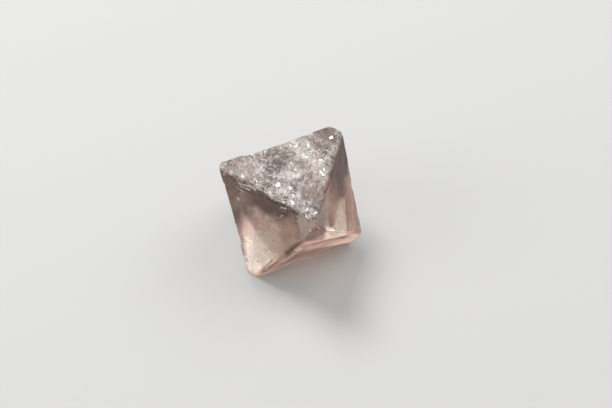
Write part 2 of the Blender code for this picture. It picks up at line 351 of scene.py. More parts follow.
@dataclass(frozen=True)
class Facet:
    """A patch of one face with straight borders. Most are painted reflections and painted shade of the
    stone's inner faces; among the streaks are painted glints, cracks, scratches and specks.

    Strength is how much it covers what lies under it, and softness is half its borders' width.
    """

    on: Face
    tone: Tone
    softness: float
    strength: float
    corners: tuple[Place, ...]
    narrow: bool = False
    STREAK_SOFTNESS: ClassVar[float] = 0.3

    @classmethod
    def streak(
        cls, on: Face, tone: Tone, width: float, strength: float, start: Place, end: Place
    ) -> "Facet":
        """Makes a narrow patch along a line.

        Args:
            on: The face.
            tone: The patch's colour.
            width: Its width.
            strength: How much it covers what lies under it.
            start: One end of the line.
            end: The other end.

        Returns:
            The patch.
        """
        low, high = Vector(start), Vector(end)
        aside = on.normal.cross(high - low).normalized() * width / 2
        corners = tuple(tuple(corner) for corner in (low + aside, high + aside, high - aside, low - aside))
        return cls(on, tone, width * cls.STREAK_SOFTNESS, strength, corners, narrow=True)

    def borders(self) -> list[tuple[Vector, float]]:
        """Finds each border's inward direction in the face, and how far along it the border lies.

        Returns:
            One direction and one distance in millimetres for each border.
        """
        places = [Vector(corner) for corner in self.corners]
        middle = sum(places, Vector()) / len(places)
        found = []
        for start, end in zip(places, places[1:] + places[:1]):
            inward = self.on.normal.cross(end - start).normalized()
            if inward.dot(middle - start) < 0:
                inward.negate()
            found.append((inward, inward.dot(start)))
        return found


SIDE_LIGHT_SHADE_AND_MARKS = (
    # Painted reflections and painted shade of the stone's inner faces, as patches and streaks.
    Facet(Face.LEFT, Tone.PETAL, 1.4, 0.75, (
        (-5.6, -6.6, 10.4), (-2.6, -7.9, 12.4), (-0.6, -9.9, 10.6), (-3.6, -9.3, 6.2))),
    Facet(Face.LEFT, Tone.RUSSET, 0.9, 0.6, (
        (-1.9, -7.8, 14.5), (0.5, -8.6, 17.6), (1.0, -10.5, 13.1), (-1.2, -9.5, 11.3))),
    Facet(Face.LEFT, Tone.GREY, 0.25, 0.85, (
        (0.8, -8.4, 18.8), (5.1, -11.9, 18.2), (2.0, -11.2, 13.2))),
    Facet(Face.RIGHT, Tone.COCOA, 0.3, 0.8, (
        (6.3, -3.4, 17.6), (7.6, -1.1, 15.7), (7.2, -8.4, 12.7), (6.3, -9.3, 14.3))),
    Facet(Face.RIGHT, Tone.GREY, 0.25, 0.9, (
        (3.8, -11.0, 19.3), (6.3, -3.4, 17.6), (6.3, -9.1, 14.3))),
    Facet(Face.RIGHT, Tone.BUTTER, 0.75, 0.95, (
        (8.3, -2.4, 13.2), (9.3, -0.8, 11.8), (9.6, -5.5, 8.3), (7.1, -8.3, 12.9))),
    Facet(Face.FRONT_UNDER, Tone.DUSK, 0.5, 0.8, (
        (3.8, -13.6, 22.0), (6.5, -10.2, 16.5), (5.7, -7.9, 9.4), (2.5, -10.8, 13.3))),
    Facet(Face.FRONT_UNDER, Tone.IVORY, 0.35, 1.0, (
        (5.8, -7.6, 8.9), (6.3, -10.4, 16.7), (9.5, -7.0, 11.6), (9.4, -5.3, 7.1))),
    Facet(Face.FRONT_UNDER, Tone.SOOT, 0.3, 0.85, (
        (1.6, -10.1, 10.5), (5.8, -7.5, 8.5), (5.9, -6.9, 7.3), (1.7, -9.4, 9.0))),
    Facet(Face.FRONT_UNDER, Tone.SOOT, 0.3, 0.85, (
        (5.8, -7.5, 8.5), (9.8, -4.9, 6.5), (10.0, -4.3, 5.2), (5.9, -6.9, 7.3))),
    Facet.streak(Face.FRONT_UNDER, Tone.DUSK, 1.1, 0.8, (1.5, -10.7, 11.9), (-0.9, -10.3, 8.1)),
    Facet.streak(Face.FRONT_UNDER, Tone.IVORY, 0.5, 0.8, (-0.6, -10.9, 9.6), (-4.6, -9.6, 2.2)),
    Facet.streak(Face.FRONT_UNDER, Tone.IVORY, 1.0, 0.9, (1.8, -9.4, 8.9), (-1.9, -9.0, 3.7)),
    Facet.streak(Face.FRONT_UNDER, Tone.DUSK, 1.7, 0.8, (1.8, -8.1, 5.7), (-0.7, -8.1, 2.9)),
    Facet.streak(Face.FRONT_UNDER, Tone.IVORY, 0.8, 0.8, (1.1, -7.2, 2.4), (-1.6, -7.8, 0.9)),
    Facet.streak(Face.FRONT_UNDER, Tone.PLUM, 0.7, 0.7, (3.5, -12.2, 18.1), (1.5, -11.1, 13.1)),
    Facet.streak(Face.FRONT_UNDER, Tone.IVORY, 1.6, 0.6, (4.6, -5.7, 2.5), (10.3, -3.3, 3.0)),
    # White cracks under the left end of the edge with the top face.
    Facet.streak(Face.LEFT, Tone.WHITE, 0.32, 1.0, (-9.0, -1.5, 17.1), (-7.0, -2.9, 17.6)),
    Facet.streak(Face.LEFT, Tone.WHITE, 0.26, 1.0, (-8.7, -1.9, 16.7), (-7.1, -3.0, 17.0)),
    Facet.streak(Face.LEFT, Tone.WHITE, 0.24, 0.8, (-9.4, -1.6, 16.0), (-8.2, -2.5, 16.0)),
    Facet.streak(Face.LEFT, Tone.WHITE, 0.34, 1.0, (-7.3, -2.6, 17.7), (-6.1, -3.5, 17.6)),
    # Painted highlights: small glints along the edge with the top face.
    Facet.streak(Face.LEFT, Tone.WHITE, 0.34, 1.0, (-4.2, -4.8, 18.3), (-3.2, -5.6, 18.1)),
    Facet.streak(Face.LEFT, Tone.WHITE, 0.32, 1.0, (-2.9, -5.9, 18.1), (-1.2, -7.0, 18.5)),
    Facet.streak(Face.LEFT, Tone.WHITE, 0.26, 0.9, (-1.8, -6.8, 17.5), (-0.8, -7.5, 17.8)),
    # One more white crack near the left corner.
    Facet.streak(Face.LEFT, Tone.WHITE, 0.3, 0.9, (-9.2, -2.4, 14.1), (-9.0, -2.6, 13.7)),
    # Painted shade along the right face's outer edge.
    Facet.streak(Face.RIGHT, Tone.CLARET, 0.55, 0.7, (9.2, 1.2, 13.3), (9.6, -2.1, 10.2)),
    Facet.streak(Face.RIGHT, Tone.CLARET, 0.65, 0.8, (9.6, -2.0, 10.3), (9.8, -5.5, 7.9)),
    # A white patch and white scratches low on the left face.
    Facet(Face.LEFT, Tone.WHITE, 0.5, 0.9, (
        (-8.7, -6.1, 4.9), (-7.7, -6.6, 5.6), (-7.4, -7.4, 3.8), (-8.2, -7.1, 2.8))),
    Facet.streak(Face.LEFT, Tone.WHITE, 0.14, 0.8, (-7.8, -6.1, 6.7), (-6.0, -7.4, 6.8)),
    Facet.streak(Face.LEFT, Tone.WHITE, 0.16, 0.8, (-7.2, -6.0, 8.1), (-5.0, -6.8, 10.5)),
    Facet.streak(Face.LEFT, Tone.WHITE, 0.14, 0.8, (-5.8, -7.3, 7.5), (-4.1, -8.7, 7.4)),
    Facet.streak(Face.LEFT, Tone.WHITE, 0.16, 0.7, (-8.4, -6.6, 3.7), (-7.2, -8.0, 2.4)),
    Facet.streak(Face.LEFT, Tone.WHITE, 0.14, 0.7, (-3.6, -7.3, 12.1), (-2.1, -8.6, 11.8)),
    # A painted highlight: a small glint near the front corner.
    Facet.streak(Face.LEFT, Tone.WHITE, 0.35, 1.0, (3.0, -10.9, 16.5), (3.3, -11.1, 16.5)),
    # Dark specks.
    Facet.streak(Face.LEFT, Tone.PLUM, 0.3, 0.8, (-6.2, -8.4, 3.4), (-5.7, -8.7, 3.7)),
    Facet.streak(Face.LEFT, Tone.PLUM, 0.3, 0.8, (-3.9, -9.6, 5.0), (-3.5, -9.8, 5.3)),
    Facet.streak(Face.LEFT, Tone.PLUM, 0.26, 0.7, (-4.6, -8.3, 7.2), (-4.2, -8.6, 7.0)),
    # Thin white streaks on the right face.
    Facet.streak(Face.RIGHT, Tone.WHITE, 0.18, 0.9, (7.8, -3.6, 13.8), (8.0, -4.8, 12.7)),
    Facet.streak(Face.RIGHT, Tone.WHITE, 0.22, 0.9, (8.5, -3.0, 12.4), (8.7, -5.1, 10.8)),
    Facet.streak(Face.RIGHT, Tone.WHITE, 0.2, 0.9, (7.6, -6.2, 12.8), (7.8, -7.2, 11.8)),
)
TOP_LIGHT_SHADE_AND_LINES = (
    # Painted reflections and painted shade on the top face: light where a smooth part mirrors, dark where it
    # shows through, then white lines.
    Facet(Face.TOP, Tone.MIST, 0.25, 0.75, (
        (-9.3, 2.4, 17.9), (-7.6, 2.1, 18.0), (-6.8, -0.8, 18.1), (-8.3, -0.8, 18.0))),
    Facet(Face.TOP, Tone.SAND, 0.3, 0.5, (
        (-11.5, 1.5, 17.9), (-9.5, 2.6, 17.9), (-9.1, 1.5, 17.9), (-10.8, 0.2, 17.9))),
    Facet(Face.TOP, Tone.BRONZE, 0.25, 0.6, (
        (-5.2, 1.6, 18.0), (-3.8, 1.1, 18.1), (-4.1, -1.1, 18.2), (-5.6, -0.6, 18.1))),
    Facet(Face.TOP, Tone.SMOKE, 0.35, 0.5, (
        (-3.7, 2.9, 18.0), (-1.6, 3.1, 18.1), (-1.1, 0.4, 18.2), (-3.1, -0.2, 18.2))),
    Facet(Face.TOP, Tone.BRONZE, 0.4, 0.55, (
        (-5.1, 5.2, 17.9), (-2.2, 5.8, 18.0), (-1.8, 3.3, 18.1), (-4.5, 2.7, 18.0))),
    Facet(Face.TOP, Tone.SAND, 0.35, 0.55, (
        (-0.1, 3.7, 18.1), (2.5, 2.5, 18.3), (3.0, 0.1, 18.4), (0.8, 0.3, 18.3))),
    Facet(Face.TOP, Tone.SAND, 0.35, 0.5, (
        (2.3, -1.9, 18.4), (5.2, -1.1, 18.5), (4.5, -6.3, 18.7), (2.0, -6.4, 18.6))),
    Facet(Face.TOP, Tone.BRONZE, 0.45, 0.35, (
        (3.7, 9.1, 18.0), (6.3, 10.2, 18.1), (7.7, 7.8, 18.2), (5.3, 6.8, 18.2))),
    Facet(Face.TOP, Tone.BRONZE, 0.3, 0.65, (
        (3.9, 6.1, 18.2), (4.9, 6.3, 18.2), (5.4, 4.5, 18.3), (4.2, 4.3, 18.2))),
    Facet(Face.TOP, Tone.MIST, 0.3, 0.55, (
        (-5.8, 0.1, 18.1), (-4.0, -0.4, 18.2), (-3.4, -2.2, 18.3), (-4.9, -2.4, 18.2))),
    Facet(Face.TOP, Tone.SMOKE, 0.3, 0.45, (
        (-1.1, -2.5, 18.3), (0.8, -2.3, 18.4), (1.1, -4.9, 18.5), (-0.4, -5.1, 18.5))),
    Facet(Face.TOP, Tone.MIST, 0.3, 0.55, (
        (3.4, 0.7, 18.4), (5.2, 1.2, 18.4), (5.2, -0.6, 18.5), (3.5, -1.3, 18.4))),
    Facet.streak(Face.TOP, Tone.WHITE, 0.42, 0.85, (-8.0, 4.8, 17.8), (-4.8, -1.1, 18.2)),
    Facet.streak(Face.TOP, Tone.WHITE, 0.34, 0.85, (-6.8, 5.0, 17.9), (-5.7, 1.4, 18.0)),
    Facet.streak(Face.TOP, Tone.WHITE, 0.55, 0.75, (-6.1, 2.7, 18.0), (-5.0, 0.5, 18.1)),
    Facet.streak(Face.TOP, Tone.MIST, 0.4, 0.8, (-8.9, 4.4, 17.8), (-7.1, 1.0, 18.0)),
    Facet.streak(Face.TOP, Tone.WHITE, 0.22, 0.7, (1.5, -7.1, 18.6), (4.1, -9.4, 18.8)),
)


# ---------------------------------------------------------------- the stone's surface
@dataclass(frozen=True)
class Terraces:
    """Low steps on one face that run along its edge with another, as cleavage leaves them.

    They fill a strip from near to far beside that edge, between a start and an end along it.
    """

    on: Face
    beside: Face
    near: float
    far: float
    pitch: float
    height: float
    start: Place
    end: Place
    SKIN: ClassVar[float] = 0.9 * MM
    FIRST: ClassVar[float] = 0.3
    FULL: ClassVar[float] = 0.7
    LAST: ClassVar[float] = 1.4
    END_FADES: ClassVar[tuple[Span, Span]] = ((-0.08, 0.06), (1.08, 0.94))
    WANDER: ClassVar[Waves] = ((0.30, 2.4), (0.8, 0.5))
    TREAD: ClassVar[tuple[Span, Span]] = ((0.0, 0.75), (1.0, 0.88))
    FIELDS: ClassVar[Waves] = ((0.42, 1.0),)
    FIELD_SEED: ClassVar[Place] = (3.0, 9.0, 5.0)
    FIELD_EDGE: ClassVar[Span] = (-0.10, 0.30)

    def depth(self, spot: Vector) -> float:
        """How deep the steps are cut at a point.

        Args:
            spot: The point, in metres.

        Returns:
            The depth, in millimetres.
        """
        first, last = self.near * self.FIRST, self.far * self.LAST
        aside = self.beside.under(spot) / MM
        if self.on.under(spot) > self.SKIN or not first < aside < last:
            return 0.0
        point = spot / MM
        low, high = Vector(self.start), Vector(self.end)
        along = (point - low).dot(high - low) / (high - low).length_squared
        reach = math.prod(smooth(*span, along) for span in self.END_FADES)
        level = aside / self.pitch + ripple(point, self.WANDER)
        tread = math.prod(smooth(*span, level - math.floor(level)) for span in self.TREAD)
        fade = smooth(first, self.near, aside) * smooth(last, self.far * self.FULL, aside)
        patchy = smooth(*self.FIELD_EDGE, ripple(point, self.FIELDS, self.FIELD_SEED))
        return self.height * tread * fade * reach * patchy


TERRACES = (
    Terraces(Face.LEFT, Face.TOP, 0.4, 2.6, 0.80, 0.060, (-11.5, 0.4, 17.5), (2.0, -9.7, 18.0)),
    Terraces(Face.LEFT, Face.FRONT_UNDER, 0.3, 1.8, 0.65, 0.050, (-6.0, -9.4, 0.6), (4.0, -11.4, 16.8)),
    Terraces(Face.FRONT_UNDER, Face.LEFT, 0.4, 3.2, 0.75, 0.110, (-6.0, -9.4, 0.6), (4.0, -11.4, 16.8)),
    Terraces(Face.FRONT_UNDER, Face.RIGHT, 0.4, 2.2, 0.70, 0.090, (5.0, -11.0, 16.0), (11.0, -3.0, 1.5)),
    Terraces(Face.RIGHT, Face.TOP, 0.3, 1.6, 0.60, 0.070, (8.5, 6.5, 18.0), (4.6, -9.0, 18.4)),
    Terraces(Face.RIGHT, Face.RIGHT_UNDER, 0.3, 2.0, 0.70, 0.075, (9.5, 6.0, 15.5), (12.0, -1.5, 3.0)),
)


@dataclass(frozen=True)
class Relief:
    """How far the finished surface lies under the split one, point by point."""

    hackle_depth: float = 0.150
    shard_sizes: tuple[tuple[float, float], ...] = ((0.95, 0.60), (0.45, 0.40))
    shard_axes: tuple[Spot, Spot] = ((0.82, 0.30), (-0.42, 0.62))
    shard_slope: float = 0.95
    shard_drop: float = 0.35
    shard_seed: float = 37.0
    calm: float = 0.22
    step_depth: float = 0.030
    step_axes: tuple[Spot, Spot] = ((0.22, 0.16), (-0.30, 0.42))
    step_seed: float = 4.0
    steps: float = 6.0
    riser: Span = (0.42, 0.58)
    step_level: float = 0.5
    step_rise: float = 0.25
    least_stepped: float = 0.4
    glint_hackle: float = 0.5
    wave_depth: float = 0.040
    wave_size: float = 4.2
    grain_depth: float = 0.004
    grain_size: float = 0.35
    rest_fade: Span = (0.5, 0.9)
    top_skin: Span = (0.55, 0.15)

    def depth(self, spot: Vector) -> float:
        """Finds how far to sink one point of the surface.

        Args:
            spot: The point, in metres.

        Returns:
            The depth, in metres.
        """
        point = spot / MM
        wave = 0.5 + 0.5 * noise.noise(point / self.wave_size)
        sunk = self.wave_depth * wave + self.grain_depth * abs(noise.noise(point / self.grain_size))
        sunk += max(steps.depth(spot) for steps in TERRACES)
        top = smooth(*self.top_skin, Face.TOP.under(spot) / MM)
        if top > 0:
            sunk += top * self.top_depth(point)
        return sunk * smooth(*self.rest_fade, Face.BASE.under(spot) / MM) * MM

    def roughness_at(self, point: Vector) -> float:
        """How hackly the top face is at a point in millimetres, from 0 to 1."""
        calmed = 1 - max(patch.share(point) for patch in CALM_PATCHES)
        return min(max(band.share(point) for band in HACKLE_BANDS), 1.0) * calmed

    def shards(self, point: Vector) -> float:
        """Sums flat, tilted shards of a few sizes.

        Args:
            point: A point of the top face, in millimetres.

        Returns:
            A number from about -0.5 to 0.5.
        """
        total = 0.0
        flat = in_plan(point, self.shard_axes, 0.0)
        for size, share in self.shard_sizes:
            cell = noise.voronoi(flat / size + Vector((0.0, 0.0, size)))[1][0]
            tilt = noise.cell_vector(cell * self.shard_seed) - Vector((0.5, 0.5, 0.5))
            away = flat / size - cell
            total += share * (away.x * tilt.x + away.y * tilt.y + self.shard_drop * tilt.z)
        return total

    def top_depth(self, point: Vector) -> float:
        """Finds the top face's own relief: hackle, low steps and shining flats.

        Args:
            point: A point of the top face, in millimetres.

        Returns:
            The depth, in millimetres.
        """
        for glint in GLINTS:
            if glint.holds(point):
                return self.hackle_depth * self.glint_hackle + self.step_depth + glint.depth(point)
        rough = self.calm + (1 - self.calm) * self.roughness_at(point)
        shard = min(max(0.5 + self.shard_slope * self.shards(point), 0.0), 1.0)
        level = noise.noise(in_plan(point, self.step_axes, self.step_seed)) * self.steps
        step = math.floor(level) + smooth(*self.riser, level - math.floor(level))
        stepped = self.step_depth * (self.step_level + self.step_rise * step) * (self.least_stepped + rough)
        return self.hackle_depth * rough * shard + stepped


@dataclass(frozen=True)
class CrystalBody:
    """The stone itself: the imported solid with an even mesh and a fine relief."""

    name: str = "crystal"
    weld: float = 0.001 * MM
    voxel: float = 0.160 * MM
    sharp_angle: float = 38.0
    relief: Relief = Relief()

    def merged_copy(self) -> bpy.types.Object:
        """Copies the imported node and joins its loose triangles.

        Returns:
            The new object.
        """
        shape = bmesh.new()
        shape.from_mesh(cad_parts[NODE].data)
        bmesh.ops.remove_doubles(shape, verts=shape.verts[:], dist=self.weld)
        return new_object(self.name, new_mesh(self.name, shape))

    def remesh(self, stone: bpy.types.Object) -> None:
        """Gives the stone an even mesh, which rounds its edges by about a voxel.

        Args:
            stone: The object to change.
        """
        remesh = stone.modifiers.new("remesh", "REMESH")
        remesh.mode = "VOXEL"
        remesh.voxel_size = self.voxel
        bpy.context.view_layer.update()
        graph = bpy.context.evaluated_depsgraph_get()
        even = bpy.data.meshes.new_from_object(stone.evaluated_get(graph))
        stone.modifiers.clear()
        stone.data = even

    def carve(self, mesh: bpy.types.Mesh) -> None:
        """Sinks every point of the stone by its relief.

        Args:
            mesh: The mesh to change.
        """
        normals = [normal.vector.copy() for normal in mesh.vertex_normals]
        for vert, normal in zip(mesh.vertices, normals):
            vert.co -= normal * self.relief.depth(vert.co)
        mesh.update()

    def build(self, material: bpy.types.Material) -> bpy.types.Object:
        """Makes the stone.

        Args:
            material: What it is made of.

        Returns:
            The finished piece.
        """
        stone = self.merged_copy()
        self.remesh(stone)
        self.carve(stone.data)
        stone.data.shade_smooth()
        stone.data.set_sharp_from_angle(angle=math.radians(self.sharp_angle))
        stone.data.materials.clear()
        stone.data.materials.append(material)
        return stone


# ---------------------------------------------------------------- inside the stone
VEIL_LAYER = "veil"


@dataclass(frozen=True)
class Veil:
    """A thin, ragged, slightly bent sheet inside the stone: mostly fine cracks and bubbles, while a few white
    sheets stand in for light that the inner faces reflect, as painted reflections.

    It lies square to its heading and lean, turned in its own plane by some degrees. Curl is its bend.
    """

    name: str
    centre: Place
    compass: float
    lean: float
    size: tuple[float, float]
    turn: float
    strength: float
    curl: float = 0.5
    thickness: float = 0.02
    cells: int = 30
    RAGGED: ClassVar[Waves] = ((1.7, 0.55), (4.5, 0.30))
    FADE: ClassVar[Span] = (1.0, 0.35)
    BEND: ClassVar[Waves] = ((0.9, 1.0), (3.1, 0.25))

    def place(self) -> Matrix:
        """Finds where the veil goes from its own flat place.

        Returns:
            The matrix that moves it to its place in the stone.
        """
        facing = heading(self.compass, self.lean).to_track_quat("Z", "Y").to_matrix().to_4x4()
        spin = Matrix.Rotation(math.radians(self.turn), 4, "Z")
        return Matrix.Translation(Vector(self.centre) * MM) @ facing @ spin

    def fade(self, spot: Vector) -> float:
        """How dense the veil is at a flat place from -1 to 1 each way.

        Args:
            spot: The place.

        Returns:
            A number from 0 to the veil's strength.
        """
        return self.strength * smooth(*self.FADE, spot.length + ripple(spot, self.RAGGED, self.centre))

    def bent(self, spot: Vector) -> Vector:
        """Gives a flat place its size and its bend.

        Args:
            spot: The place, from -1 to 1 each way.

        Returns:
            The place in metres, before the veil is turned and moved.
        """
        bend = self.curl * ripple(spot, self.BEND, self.centre)
        return Vector((spot.x * self.size[0] / 2, spot.y * self.size[1] / 2, bend)) * MM

    def build(self, material: bpy.types.Material) -> bpy.types.Object:
        """Builds the veil.

        Args:
            material: Its finish.

        Returns:
            The finished piece.
        """
        shape = bmesh.new()
        bmesh.ops.create_grid(shape, x_segments=self.cells, y_segments=self.cells, size=1.0)
        density = shape.verts.layers.float.new(VEIL_LAYER)
        for vert in shape.verts:
            vert[density] = self.fade(vert.co)
        bare = [face for face in shape.faces if all(vert[density] <= 0 for vert in face.verts)]
        bmesh.ops.delete(shape, geom=bare, context="FACES")
        for vert in shape.verts:
            vert.co = self.bent(vert.co)
        bmesh.ops.solidify(shape, geom=shape.faces[:], thickness=self.thickness * MM)
        bmesh.ops.transform(shape, matrix=self.place(), verts=shape.verts[:])
        bmesh.ops.recalc_face_normals(shape, faces=shape.faces[:])
        mesh = new_mesh(self.name, shape)
        mesh.shade_smooth()
        mesh.materials.append(material)
        return new_object(self.name, mesh)


VEILS = (
    Veil("cloud_middle", (-0.3, 0.0, 17.45), 128.3, 87.1, (4.6, 3.2), 40.0, 0.85),
    Veil("cloud_near", (-1.4, -3.9, 17.60), 128.3, 87.1, (4.2, 2.6), -30.0, 0.85),
    Veil("cloud_band", (2.8, 3.7, 17.45), 128.3, 87.1, (9.6, 4.2), -50.0, 0.80),
    Veil("cloud_left", (-5.2, 1.0, 17.05), 128.3, 87.1, (4.0, 2.4), 60.0, 0.50),
    Veil("haze_low", (-5.3, -6.5, 4.2), -127.3, 15.5, (5.6, 7.4), 15.0, 0.36, 1.2),
    Veil("haze_edge", (-3.4, -5.9, 6.9), -110.0, 5.0, (4.4, 8.0), -20.0, 0.20, 1.4),
    Veil("curtain", (-2.4, -4.9, 9.8), -145.0, 10.0, (3.6, 9.0), -32.0, 0.16, 1.6),
    Veil("crack_left", (-7.8, -2.0, 16.8), -127.3, 15.5, (5.0, 2.0), 2.0, 1.0, 0.1),
    Veil("crack_upper", (-2.5, -5.7, 17.5), -127.3, 15.5, (4.8, 1.2), 3.0, 1.0, 0.1),
    # White sheets that stand in for light reflected by the stone's inner faces: painted reflections.
    Veil("reflection_patch_right", (6.0, -6.7, 13.3), -13.1, 21.8, (2.6, 3.4), 20.0, 0.7, 0.5),
    Veil("reflection_facet_right", (7.0, -5.9, 9.9), -20.0, 25.0, (2.6, 4.6), 35.0, 0.6, 0.5),
    Veil("reflection_streak_under", (4.8, -5.9, 5.4), -66.1, -19.4, (9.0, 1.2), 4.0, 0.5, 0.4),
)


# ---------------------------------------------------------------- shader nodes
class Nodes:
    """A short way to write shader nodes in one tree."""

    def __init__(self, tree: bpy.types.NodeTree) -> None:
        """Works in this tree."""
        self.tree = tree

    def feed(self, socket: Socket, value: Value) -> None:
        """Links a socket to a value that is another socket, and sets it to any other value.

        Args:
            socket: The input.
            value: An output socket, a number, a tuple or a vector.
        """
        if isinstance(value, Socket):
            self.tree.links.new(value, socket)
        else:
            socket.default_value = value

    def add(self, kind: str, *inputs: Value | None, **settings: object) -> bpy.types.Node:
        """Adds a node.

        Args:
            kind: The node's type name, without ShaderNode.
            inputs: Its first inputs, in order. None leaves one alone.
            settings: Its properties.

        Returns:
            The node.
        """
        node = self.tree.nodes.new("ShaderNode" + kind)
        for name, value in settings.items():
            setattr(node, name, value)
        for socket, value in zip(node.inputs, inputs):
            if value is not None:
                self.feed(socket, value)
        return node

    def math(self, operation: str, *values: Value) -> Socket:
        """One Math node's result."""
        return self.add("Math", *values, operation=operation).outputs[0]

    def times(self, *values: Value) -> Socket:
        """The product of two or more numbers."""
        return reduce(lambda total, value: self.math("MULTIPLY", total, value), values)

    def plus(self, *values: Value) -> Socket:
        """The sum of two or more numbers."""
        return reduce(lambda total, value: self.math("ADD", total, value), values)

    def minus(self, value: Value, less: Value) -> Socket:
        """The difference of two numbers."""
        return self.math("SUBTRACT", value, less)

    def highest(self, *values: Value) -> Socket:
        """The highest of two or more numbers."""
        return reduce(lambda total, value: self.math("MAXIMUM", total, value), values)

    def vector(self, operation: str, *values: Value) -> Socket:
        """One Vector Math node's vector."""
        return self.add("VectorMath", *values, operation=operation).outputs["Vector"]

    def dot(self, point: Value, direction: Value) -> Socket:
        """How far a point lies along a direction."""
        return self.add("VectorMath", point, direction, operation="DOT_PRODUCT").outputs["Value"]

    def scaled(self, vector: Value, scale: Value) -> Socket:
        """Scales a vector.

        Args:
            vector: The vector.
            scale: What it is multiplied by.

        Returns:
            The longer or shorter vector's socket.
        """
        node = self.add("VectorMath", vector, operation="SCALE")
        self.feed(node.inputs["Scale"], scale)
        return node.outputs["Vector"]

    def along(self, axis: str, point: Socket) -> Socket:
        """A point's place along X, Y or Z."""
        return self.add("SeparateXYZ", point).outputs[axis]

    def rise(
        self, value: Value, low: Value, high: Value, to_low: Value = 0.0, to_high: Value = 1.0
    ) -> Socket:
        """A smooth rise from to_low, where value is low, to to_high, where it is high."""
        node = self.add("MapRange", value, low, high, to_low, to_high, interpolation_type="SMOOTHSTEP")
        return node.outputs["Result"]

    def noise(self, point: Value, size: float, detail: float = 2.0, warp: float = 0.0) -> Socket:
        """Adds noise from 0 to 1.

        Args:
            point: Where it is read.
            size: The size of its features, in the point's own unit.
            detail: How many finer layers it has.
            warp: How far it is warped.

        Returns:
            The noise's socket.
        """
        node = self.add("TexNoise", point, None, 1.0 / size, detail)
        self.feed(node.inputs["Distortion"], warp)
        return node.outputs["Fac"]

    def cells(self, point: Value, size: float) -> bpy.types.Node:
        """A Voronoi node with cells of about this size, in the point's own unit."""
        return self.add("TexVoronoi", point, None, 1.0 / size)

    def mix(self, share: Value, low: Value, high: Value, data: str = "FLOAT", kind: str = "VALUE") -> Socket:
        """Mixes two values.

        Args:
            share: How much there is of the second one, from 0 to 1.
            low: The first value.
            high: The second one.
            data: The Mix node's name for what they are.
            kind: The sockets' name for the same.

        Returns:
            The mixed value's socket.
        """
        node = self.add("Mix", share, data_type=data)
        first, second = [socket for socket in node.inputs[2:] if socket.type == kind]
        self.feed(first, low)
        self.feed(second, high)
        return next(socket for socket in node.outputs if socket.type == kind)

    def blend(self, share: Value, low: Value, high: Value) -> Socket:
        """A mix of two colours: low where share is 0, high where it is 1."""
        return self.mix(share, low, high, "RGBA", "RGBA")


class ShaderGroup:
    """A shader node group that is built once, and then placed wherever it is needed.

    Each kind of group gives its name, its inputs with their socket types, its outputs, which are
    numbers, and the nodes that work them out.
    """

    NAME: ClassVar[str]
    INPUTS: ClassVar[dict[str, str]]
    OUTPUTS: ClassVar[tuple[str, ...]]
    VECTOR: ClassVar[str] = "NodeSocketVector"
    NUMBER: ClassVar[str] = "NodeSocketFloat"

    @classmethod
    def results(cls, nodes: Nodes, given: Sockets) -> tuple[Socket, ...]:
        """Adds the nodes that work the outputs out. Each kind of group has its own."""
        raise NotImplementedError

    @classmethod
    def tree(cls) -> bpy.types.NodeTree:
        """Gets the group's tree, and builds it the first time.

        Returns:
            The tree.
        """
        found = bpy.data.node_groups.get(cls.NAME)
        if found:
            return found
        made = bpy.data.node_groups.new(cls.NAME, "ShaderNodeTree")
        for name, kind in cls.INPUTS.items():
            made.interface.new_socket(name, in_out="INPUT", socket_type=kind)
        for name in cls.OUTPUTS:
            made.interface.new_socket(name, in_out="OUTPUT", socket_type=cls.NUMBER)
        nodes = Nodes(made)
        given = made.nodes.new("NodeGroupInput")
        result = made.nodes.new("NodeGroupOutput")
        for name, value in zip(cls.OUTPUTS, cls.results(nodes, given.outputs)):
            nodes.feed(result.inputs[name], value)
        return made

    @classmethod
    def place(cls, nodes: Nodes, values: dict[str, Value]) -> tuple[Socket, ...]:
        """Adds the group to a material.

        Args:
            nodes: The material's nodes.
            values: The group's inputs, by name.

        Returns:
            The group's outputs, in order.
        """
        node = nodes.add("Group", node_tree=cls.tree())
        for name, value in values.items():
            nodes.feed(node.inputs[name], value)
        return tuple(node.outputs[name] for name in cls.OUTPUTS)


class DepthGroup(ShaderGroup):
    """Tells how deep a point of the stone lies under one of its faces."""

    NAME = "depth under face"
    INPUTS = {"Point": ShaderGroup.VECTOR, "Normal": ShaderGroup.VECTOR, "Reach": ShaderGroup.NUMBER}
    OUTPUTS = ("Depth",)

    @classmethod
    def results(cls, nodes: Nodes, given: Sockets) -> tuple[Socket, ...]:
        """Takes how far out the point lies from how far out the face does."""
        return (nodes.minus(given["Reach"], nodes.dot(given["Point"], given["Normal"])),)


class RoundGroup(ShaderGroup):
    """Rises or falls with the distance from one spot of the top face, seen from above."""

    NAME = "round patch"
    INPUTS = {"Point": ShaderGroup.VECTOR, "Centre": ShaderGroup.VECTOR} | dict.fromkeys(
        ("Waver", "From", "To", "Strength"), ShaderGroup.NUMBER
    )
    OUTPUTS = ("Share",)

    @classmethod
    def results(cls, nodes: Nodes, given: Sockets) -> tuple[Socket, ...]:
        """Lets the share rise from 0 at one distance to its strength at the other.

        Args:
            nodes: The group's nodes.
            given: The group's inputs.

        Returns:
            The share's socket.
        """
        plan = nodes.vector("MULTIPLY", given["Point"], (1.0, 1.0, 0.0))
        away = nodes.add("VectorMath", plan, given["Centre"], operation="DISTANCE").outputs["Value"]
        away = nodes.plus(away, given["Waver"])
        return (nodes.rise(away, given["From"], given["To"], 0.0, given["Strength"]),)


